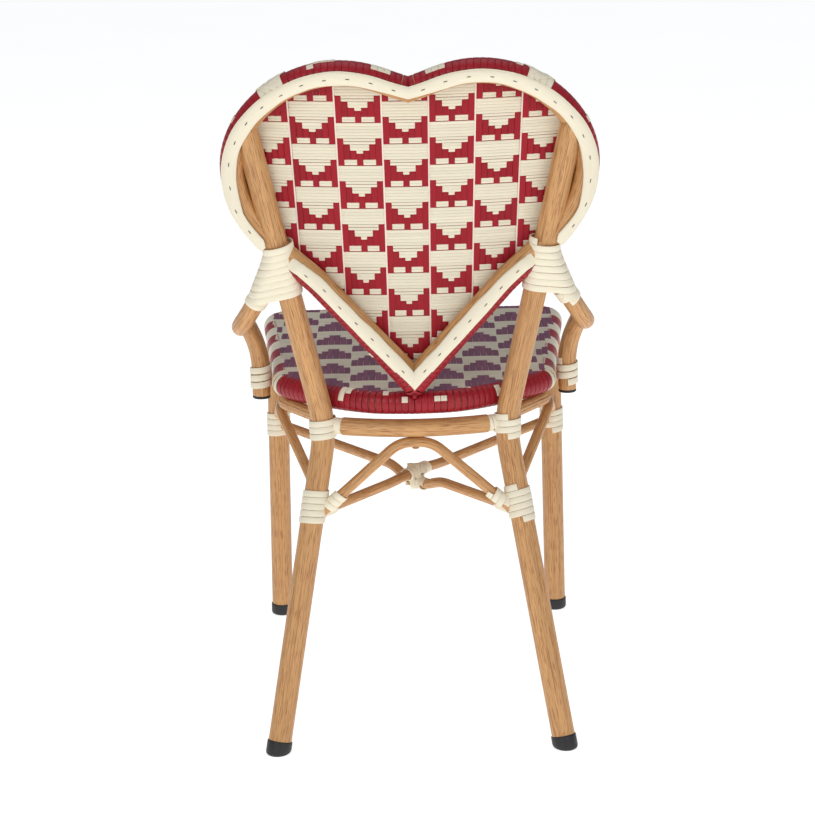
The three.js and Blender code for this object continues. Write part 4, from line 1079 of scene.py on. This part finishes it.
class CHAIR_OT_seat(bpy.types.Operator):
    """Weave the seat and roll it round its ring"""
    bl_idname = "chair.seat"
    bl_label = "Woven Seat"

    def execute(self, context):
        weave = context.scene.chair_weave
        strand_pitch, filler, row_pitch = (v / MM for v in (weave.strand, weave.filler, weave.row))
        column = SEAT_STRANDS * strand_pitch + filler
        half = seat_inset(RING_RADIUS + COVER - 2)
        outline = np.vstack([half, half[-2:0:-1] * (-1, 1)])
        strands, rows = [], []
        for col in BACK_COLUMNS:
            for place in range(-1, SEAT_STRANDS):
                thin = place < 0
                across = -column / 2 if thin else (place + 0.5 - SEAT_STRANDS / 2) * strand_pitch
                x = col * column + SEAT_COLUMN_X + across
                strands.append({"at": x, "column": col, "place": place,
                                "spans": crossings(outline, 0, x) if abs(x) < SEAT_LAST_X else [],
                                "width": filler + 0.5 if thin else strand_pitch - 0.2, "thick": 1.1,
                                "finish": 2 if thin else 0, "tone": tone_of("seat", col, place)})
        for row in range(SEAT_ROWS):
            y = SEAT_ROW_Y - row * row_pitch
            rows.append({"at": y, "row": row, "spans": crossings(outline, 1, y),
                         "width": row_pitch - 0.1, "thick": 1.0, "finish": 1,
                         "tone": tone_of("seatrow", row)})

        def over(one, row):
            if one["place"] < 0:
                return False
            step = (row["row"] + SEAT_FIRST_ROW + (0 if one["column"] % 2 else HALF_MOTIF)) % MOTIF_ROWS
            from_edge = min(one["place"], SEAT_STRANDS - 1 - one["place"])
            return step < 6 or step < 8 and from_edge >= 1 or step < 10 and from_edge >= 2

        top = SEAT_TOP - 1.2

        def place(kind, member, stops, heights):
            # The rows bow round each motif, and the strands fan out with them
            x, y = (member["at"], stops) if kind == "strand" else (stops, member["at"])
            turn = 2 * math.pi * ((SEAT_ROW_Y - y) / row_pitch + SEAT_FIRST_ROW + 1.5) / MOTIF_ROWS
            across = math.pi * (x - SEAT_COLUMN_X) / column
            wave = SEAT_BOW * np.cos(turn) * np.cos(across)
            fan = -SEAT_FAN * np.sin(turn) * np.sin(across)
            flat = np.stack(np.broadcast_arrays(x + fan, y + wave, top + heights), 1)
            return flat, np.array((0.0, 0.0, 1.0))

        # The seat's red strands take the plum finish, a painted sheen and painted shade, and its cream
        # strands and fillers take the darker cream finish, a painted shade
        piece = Piece("woven_seat_panel", "painted_sheen_plum", "painted_shade_cream", "painted_shade_cream")
        woven(piece, strands, rows, over, place)
        piece.make("seat_weave", crease=60)

        roll = Piece("seat_edge_roll", "drawn", "cream")
        line, out = seat_ring(strand_pitch)
        section = strip_section(strand_pitch - 0.05, SEAT_ROLL_THICKNESS, 0.6)

        def turn(i, radius, low, high, steps, tone, finish):
            """Lays a strand round the ring at a station"""
            angles = np.radians(np.linspace(low, high, steps))
            offset = np.column_stack([np.cos(angles)[:, None] * out[i], np.sin(angles)]) * radius
            roll.skin(swept((*line[i], RING_Z) + offset, section, offset), tone, finish)

        for i, (spot, face) in enumerate(zip(line, out)):
            # Along both sides, the seat's rows go round the ring with its strands
            cream = abs(face[0]) > 0.86 and round((SEAT_ROW_Y - spot[1]) / strand_pitch) % 10 < 5
            turn(i, SEAT_ROLL_RADIUS, *SEAT_ROLL_ENDS, 19, tone_of("seatroll", i), int(cream))
        for x, low, high in SEAT_PATCHES:
            i = int(np.argmin((line[:, 0] - x) ** 2 + (line[:, 1] - 170) ** 2))
            turn(i, SEAT_ROLL_RADIUS + SEAT_PATCH_LIFT, low, high, 9, 0.5, 1)
        roll.make(crease=60)
        ring = evenly(np.pad(ring_half(), ((0, 0), (0, 1)), constant_values=RING_Z), RING_STATION)
        for name, side in SIDES:
            Piece(f"seat_ring_tube_{name}", "wood").skin(
                swept(mirror(ring, side), circle(RING_RADIUS, 24), (0, 0, 1))).make(f"seat_ring_{name}")
        return {"FINISHED"}


class CHAIR_OT_hoop(bpy.types.Operator):
    """Add the ribbed hoop under the seat and the rear rail"""
    bl_idname = "chair.hoop"
    bl_label = "Hoop and Rail"

    def execute(self, context):
        tubes = context.scene.chair_tubes
        half = ring_half()
        half = np.vstack([half[half[:, 1] < HOOP_LAST_Y], HOOP_END])
        whole = np.vstack([half[:0:-1] * (-1, 1), half])
        line = evenly(np.pad(whole, ((0, 0), (0, 1)), constant_values=HOOP_Z), RING_STATION)
        a = np.linspace(0, 2 * math.pi, 64, endpoint=False)
        grooves = sum(np.exp(-(np.angle(np.exp(1j * (a - g))) / GROOVE_WIDTH) ** 2) for g in HOOP_GROOVES)
        reach = HOOP_RADIUS * (1 - GROOVE_DEPTH * grooves)
        section = np.stack([np.cos(a) * reach, np.sin(a) * reach], 1)
        d = directions(line)
        outward = np.stack([d[:, 1], -d[:, 0], np.zeros(len(d))], 1)
        Piece("ribbed_seat_hoop", "wood").skin(swept(line, section, outward)).make("seat_hoop", crease=70)
        x, y = RAIL_END
        rail = bezier((-x, y, RAIL_Z), (0, 2 * RAIL_BOW_Y - y, RAIL_Z), (x, y, RAIL_Z), steps=30)
        radius = tubes.rail / MM / 2
        tips = [rail[i] + unit(rail[i] - rail[j]) * RAIL_NOSE for i, j in ((0, 1), (-1, -2))]
        line = np.vstack([tips[0], rail, tips[1]])
        size = np.ones(len(line))
        size[0] = size[-1] = 1 - RAIL_NOSE / radius
        piece = Piece("rear_rail_tube", "wood")
        piece.skin(swept(line, circle(radius, tubes.around), (0, -1, 0), size))
        spigot = evenly(np.vstack([(x, y, RAIL_Z), leg_at(RAIL_Z)]), STAY_STATION)
        for _, side in SIDES:
            piece.skin(swept(mirror(spigot, side), circle(SPIGOT_RADIUS, 24), (0, -1, 0)))
        piece.make("rear_seat_rail", crease=28)
        return {"FINISHED"}


class CHAIR_OT_stays(bpy.types.Operator):
    """Add the curved side stays"""
    bl_idname = "chair.stays"
    bl_label = "Side Stays"

    def execute(self, context):
        tubes = context.scene.chair_tubes
        for name, side in SIDES:
            tube(f"curved_stay_tube_{name}", f"side_stay_{name}", evenly(stay_line(side), STAY_STATION),
                 tubes.stay / MM / 2, tubes.around, up=(0, -1, 0.3))
        return {"FINISHED"}


def arch_corners(kind):
    rear_z, side_z, front_z = ARCH_FOOT_Z
    rear_foot, side_foot, front_foot = leg_at(rear_z), leg_at(side_z), front_at(front_z)
    if kind == "rear":
        low, y, z = rear_foot, RAIL_BOW_Y, ARCH_Z[0]
    elif kind == "front":
        low, y, z = front_foot, SEAT_FRONT_Y + RING_RADIUS + COVER, ARCH_Z[1]
    else:
        tops = [(*place, ARCH_Z[1]) for place in SIDE_ARCH]
        return mirror(np.vstack([side_foot, *tops, front_foot]), dict(SIDES)[kind])
    return np.vstack([low * (-1, 1, 1), (-ARCH_FLAT, y, z), (ARCH_FLAT, y, z), low])


def cross_line(side):
    rear, front = leg_at(CROSS_Z[0]), front_at(CROSS_Z[1])
    return mirror(np.vstack([rear, front * (-1, 1, 1)]), side)


def cross_middle():
    """Where the cross braces meet, and the share of their length before it"""
    rear, front = cross_line(1)
    share = rear[0] / (rear[0] - front[0])
    return rear + (front - rear) * share, share


class CHAIR_OT_braces(bpy.types.Operator):
    """Add the arches and the cross braces with their screws"""
    bl_idname = "chair.braces"
    bl_label = "Arches and Cross Braces"

    def execute(self, context):
        tubes = context.scene.chair_tubes
        radius = tubes.brace / MM / 2
        for kind in ("rear", "front", "left", "right"):
            stands = f"{kind}_arch" if kind in ("rear", "front") else f"side_arch_{kind}"
            corners = arch_corners(kind)
            short = min(ARCH_BEND, np.linalg.norm(corners[2] - corners[1]) * 0.49)
            tube(f"{kind}_arch_tube", stands, evenly(bent(corners, short), BRACE_STATION), radius, 24,
                 up=(0, 0.2, -1))
            seat = (corners[1] + corners[2]) / 2 - (0, 0, radius)
            Piece(f"{kind}_arch_screw_head", "copper").skin(turned(seat, SCREW_PROFILE, 24)).make(
                f"arch_screw_{kind}")
        share = cross_middle()[1]
        outer, inner = CROSS_STEP
        for name, side, lift in CROSS_LIFTS:
            rear, front = cross_line(side)
            knots = [rear]
            for part, up in ((-outer, 0), (-inner, lift), (inner, lift), (outer, 0)):
                knots.append(rear + (front - rear) * (share + part) + (0, 0, up))
            line = evenly(bent([*knots, front], CROSS_BEND, steps=6), BRACE_STATION)
            tube(f"cross_brace_tube_{name}", f"cross_brace_{name}", line, radius, 24, up=(0, 0, -1))
        return {"FINISHED"}


def loop_point(share, spread, radius):
    """A point on the line round two equal circles a spread apart, and its outward direction"""
    arc = math.pi * radius
    total = 2 * arc + 2 * spread
    run = (share % 1) * total
    if run < arc:
        a = run / radius - math.pi / 2
        return spread + radius * math.cos(a), radius * math.sin(a), a
    if run < arc + spread:
        return spread - (run - arc), radius, math.pi / 2
    if run < 2 * arc + spread:
        a = (run - arc - spread) / radius + math.pi / 2
        return radius * math.cos(a), radius * math.sin(a), a
    return run - 2 * arc - spread, -radius, -math.pi / 2


def wound(piece, origin, axis, across, loops, radius, key, spread=lambda h: 0.0, width=STRIP,
          pitch=STRIP_PITCH, steps=40):
    """Winds a flat strip round one member or two, each turn a little off the last. The spread is the space
    between the members' axes at a height"""
    up = unit(np.array(axis, float))
    x = unit(np.array(across, float) - up * np.dot(across, up))
    y = np.cross(up, x)
    line, ups, sizes = [], [], []
    total = int(loops * steps)
    for i in range(total + 1):
        turn = i / steps
        mix = turn % 1
        wobble = (1 - mix) * tone_of(key, int(turn)) + mix * tone_of(key, int(turn) + 1) - 0.5
        h = (turn - loops / 2) * pitch + wobble * 0.7
        px, py, angle = loop_point(turn, spread(h), radius + wobble * 0.3)
        line.append(origin + up * h + x * px + y * py)
        # Where the two members part, the strip leans with the slope and lies wider
        slope = float(spread(h + 1) - spread(h - 1)) / 2 * max(0.0, math.cos(angle))
        ups.append(x * math.cos(angle) + y * math.sin(angle) - up * slope)
        sizes.append(math.hypot(1, slope))
    section = strip_section(width, STRIP_THICKNESS, STRIP_EDGE)
    piece.skin(swept(np.array(line), section, np.array(ups), sizes), tone=tone_of(key, "all"))


class CHAIR_OT_bindings(bpy.types.Operator):
    """Wind the cream strip round the joints"""
    bl_idname = "chair.bindings"
    bl_label = "Bindings"

    def execute(self, context):
        tubes = context.scene.chair_tubes
        main, stay, brace = (v / MM / 2 for v in (tubes.main, tubes.stay, tubes.brace))

        def bend_middle(corners, i):
            """The middle of the post's bend at a corner, with the bend's ends before and after it"""
            ends = [corners[i] + unit(corners[j] - corners[i]) * KNEE_BEND for j in (i - 1, i + 1)]
            return bezier(ends[0], corners[i], ends[1], steps=2)

        for name, side in SIDES:
            corners = post_corners(side)
            flip = np.array((side, 0, 0), float)
            before, middle, after = bend_middle(corners, 2)
            piece = Piece(f"post_wrap_{name}", "strip")
            # Each turn takes in more of the stay, which leaves the post at a slant
            axis = unit(after - before) + (side * -0.06, 0, 0)
            wound(piece, middle + axis * WRAP_RISE, axis, flip, POST_TURNS, main + WRAP_EASE + 1.6,
                  f"post{side}", spread=lambda h: np.interp(h, *POST_WRAP_SPREAD), width=STRIP_PITCH)
            line = stay_line(side)
            neck = on_back([(STAY_NECK[0] * side, POST_CROSS[1], STAY_NECK[1])])[0]
            i = int(np.argmin(np.linalg.norm(line - neck, axis=1)))
            run = line[i - 2] - line[i + 2]
            wound(piece, line[i] - unit(run) * 3, run, flip, NECK_TURNS, stay + WRAP_EASE * 0.8,
                  f"neck{side}", width=STRIP_PITCH)
            piece.make(f"post_binding_{name}", crease=50)

            piece = Piece(f"stay_wrap_{name}", "strip")
            end = mirror(points(STAY_END), side)[0]
            wound(piece, np.array([*end[:2], STAY_WRAP_Z]), (0, 0, 1), flip, STAY_TURNS, stay + WRAP_EASE,
                  f"stay{side}", pitch=9.6, width=8.4)
            piece.make(f"stay_binding_{name}", crease=50)

            before, middle, after = bend_middle(corners, 1)
            piece = Piece(f"rail_wrap_{name}", "strip")
            wound(piece, middle, after - before, flip, RAIL_TURNS, main + WRAP_EASE + 0.2, f"rail{side}")
            nose = mirror(points((RAIL_END[0] + 1.5, RAIL_END[1] - 0.5, RAIL_Z)), side)[0]
            out = leg_at(RAIL_Z) * (side, 1, 1) - nose
            wound(piece, nose + unit(out) * 3, out, (0, 0, 1), SPIGOT_TURNS, SPIGOT_RADIUS + 2.6,
                  f"spigot{side}")
            piece.make(f"rail_binding_{name}", crease=50)

            for kind, foot, top, z, loops in LEG_WRAPS:
                piece = Piece(f"{kind}_leg_wrap_{name}", "strip")
                axis = mirror(points(top) - points(foot), side)[0]
                middle = leg_at(z, foot, top) * (side, 1, 1)
                wound(piece, middle, axis, flip, loops, main + 1.0, f"{kind}{side}")
                piece.make(f"{kind}_leg_binding_{name}", crease=50)

            arch = arch_corners("rear")[::-side]
            for kind, (low, high) in (("arch", arch[:2]), ("cross", cross_line(side))):
                axis = unit(high - low)
                reach = END_WRAP_REACH / math.hypot(axis[0], axis[1])
                piece = Piece(f"{kind}_end_wrap_{name}", "strip")
                wound(piece, low + axis * reach, axis, (0, 0, 1), END_TURNS, brace + 1.7, f"{kind}end{side}")
                piece.make(f"{kind}_end_binding_{name}", crease=50)

        middle = cross_middle()[0]
        few, many = LASH_TURNS
        piece = Piece("cross_lashing_wrap", "strip")
        for _, side, lift in CROSS_LIFTS:
            rear, front = cross_line(side)
            run = unit((front - rear) * (1, 1, 0))
            for way in (1, -1):
                wound(piece, middle + (0, 0, lift) + run * way * LASH_REACH, run, (0, 0, 1), few,
                      brace + 1.3, f"lash{side}{way}")
        high, low = (lift for _, _, lift in CROSS_LIFTS)
        wound(piece, middle + (0, 0, low), (1, 0, 0), (0, 0, 1), many, brace + 3.2, "lash",
              spread=lambda h: high - low)
        piece.make("cross_binding", crease=50)
        return {"FINISHED"}


# In metres: height of the point that the camera looks at, and half the floor's width
LOOK_HEIGHT = 0.44
FLOOR_HALF = 14
# The photograph's frame, as shares of its width
SHIFT = (-0.00766, -0.0627)
# Soft lights: place, aim, width in metres and power in watts
LAMPS = (("key_softbox", (2.0, 4.2, 2.6), (0, 0, 0.5), 2.4, 60),
         ("fill_softbox", (-2.6, 3.6, 1.8), (0, 0, 0.5), 2.4, 34),
         ("top_softbox", (0, -0.4, 3.6), (0, 0, 0.4), 2.6, 22))


class CHAIR_OT_stage(bpy.types.Operator):
    """Set up the camera, the floor and the soft light"""
    bl_idname = "chair.stage"
    bl_label = "Camera, Floor and Light"

    def execute(self, context):
        studio = context.scene.chair_studio
        scene = context.scene
        tilt, yaw, roll = studio.pitch, math.radians(0.013), studio.roll
        look = Vector((-math.sin(yaw) * math.cos(tilt), -math.cos(yaw) * math.cos(tilt), -math.sin(tilt)))
        right = Vector((-math.cos(yaw), math.sin(yaw), 0))
        up = right.cross(look)
        across = math.cos(roll) * right + math.sin(roll) * up
        top = math.cos(roll) * up - math.sin(roll) * right
        place = Vector((0, 0, LOOK_HEIGHT)) - look * studio.distance
        lens = bpy.data.cameras.new("photo_camera")
        lens.lens, lens.sensor_width, lens.sensor_fit = studio.focal, 36, "HORIZONTAL"
        lens.shift_x, lens.shift_y = SHIFT
        camera = bpy.data.objects.new("photo_camera", lens)
        scene.collection.objects.link(camera)
        turn = Matrix((across, top, -look)).transposed().to_4x4()
        camera.matrix_world = Matrix.Translation(place) @ turn
        scene.camera = camera

        # Lit opal floor, so even that its only detail is a faint mottling
        finish, tree, surface = new_finish("matt_lit_opal_acrylic")
        where = add(tree, "ShaderNodeTexCoord").outputs["Object"]
        mottle = add(tree, "ShaderNodeTexNoise", {"Vector": where, "Scale": 1 / 0.4, "Detail": 2})
        paint = tuple(studio.floor)
        tone = ramp(tree, mottle.outputs["Fac"], (0.3, shade(paint, 0.99)), (0.7, paint))
        tree.links.new(tone, surface.inputs["Base Color"])
        surface.inputs["Roughness"].default_value = 0.9
        tree.links.new(tone, surface.inputs["Emission Color"])
        surface.inputs["Emission Strength"].default_value = 0.78
        mesh = bpy.data.meshes.new("studio_floor")
        corners = [(x * FLOOR_HALF, y * FLOOR_HALF, 0) for x, y in ((-1, -1), (1, -1), (1, 1), (-1, 1))]
        mesh.from_pydata(corners, [], [(0, 1, 2, 3)])
        mesh.materials.append(finish)
        floor = bpy.data.objects.new("studio_floor", mesh)
        scene.collection.objects.link(floor)

        for name, place, aim, size, power in LAMPS:
            data = bpy.data.lights.new(name, "AREA")
            data.size, data.energy = size, power
            lamp = bpy.data.objects.new(name, data)
            lamp.location = place
            lamp.rotation_euler = (Vector(aim) - Vector(place)).to_track_quat("-Z", "Y").to_euler()
            scene.collection.objects.link(lamp)
        world = bpy.data.worlds.new("white_studio")
        world.use_nodes = True
        sky = world.node_tree.nodes["Background"]
        sky.inputs["Color"].default_value = linear("e6ebf5")
        sky.inputs["Strength"].default_value = 0.32
        scene.world = world
        scene.view_settings.view_transform = "Standard"
        return {"FINISHED"}


class CHAIR_PT_panel(bpy.types.Panel):
    """Steps and sizes of the chair"""
    bl_idname = "CHAIR_PT_panel"
    bl_label = "Bistro Chair"
    bl_space_type = "VIEW_3D"
    bl_region_type = "UI"
    bl_category = "Chair"

    def draw(self, context):
        for group in (context.scene.chair_tubes, context.scene.chair_weave, context.scene.chair_studio):
            box = self.layout.box()
            for key in group.bl_rna.properties.keys():
                if key not in ("rna_type", "name"):
                    box.prop(group, key)
        for step in STEPS:
            self.layout.operator(step.bl_idname)


GROUPS = (("chair_tubes", ChairTubes), ("chair_weave", ChairWeave), ("chair_studio", ChairStudio))
STEPS = (CHAIR_OT_posts, CHAIR_OT_caps, CHAIR_OT_heart, CHAIR_OT_back_panel, CHAIR_OT_back_roll,
         CHAIR_OT_trim, CHAIR_OT_seat, CHAIR_OT_hoop, CHAIR_OT_stays, CHAIR_OT_braces, CHAIR_OT_bindings,
         CHAIR_OT_stage)


def register():
    for name, group in GROUPS:
        bpy.utils.register_class(group)
        setattr(bpy.types.Scene, name, PointerProperty(type=group))
    for one in (*STEPS, CHAIR_PT_panel):
        bpy.utils.register_class(one)


def unregister():
    for one in (CHAIR_PT_panel, *reversed(STEPS)):
        bpy.utils.unregister_class(one)
    for name, group in GROUPS:
        delattr(bpy.types.Scene, name)
        bpy.utils.unregister_class(group)


def main():
    register()
    for step in STEPS:
        area, name = step.bl_idname.split(".")
        getattr(getattr(bpy.ops, area), name)()
    bpy.context.view_layer.update()
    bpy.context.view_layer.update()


if __name__ == "__main__":
    main()
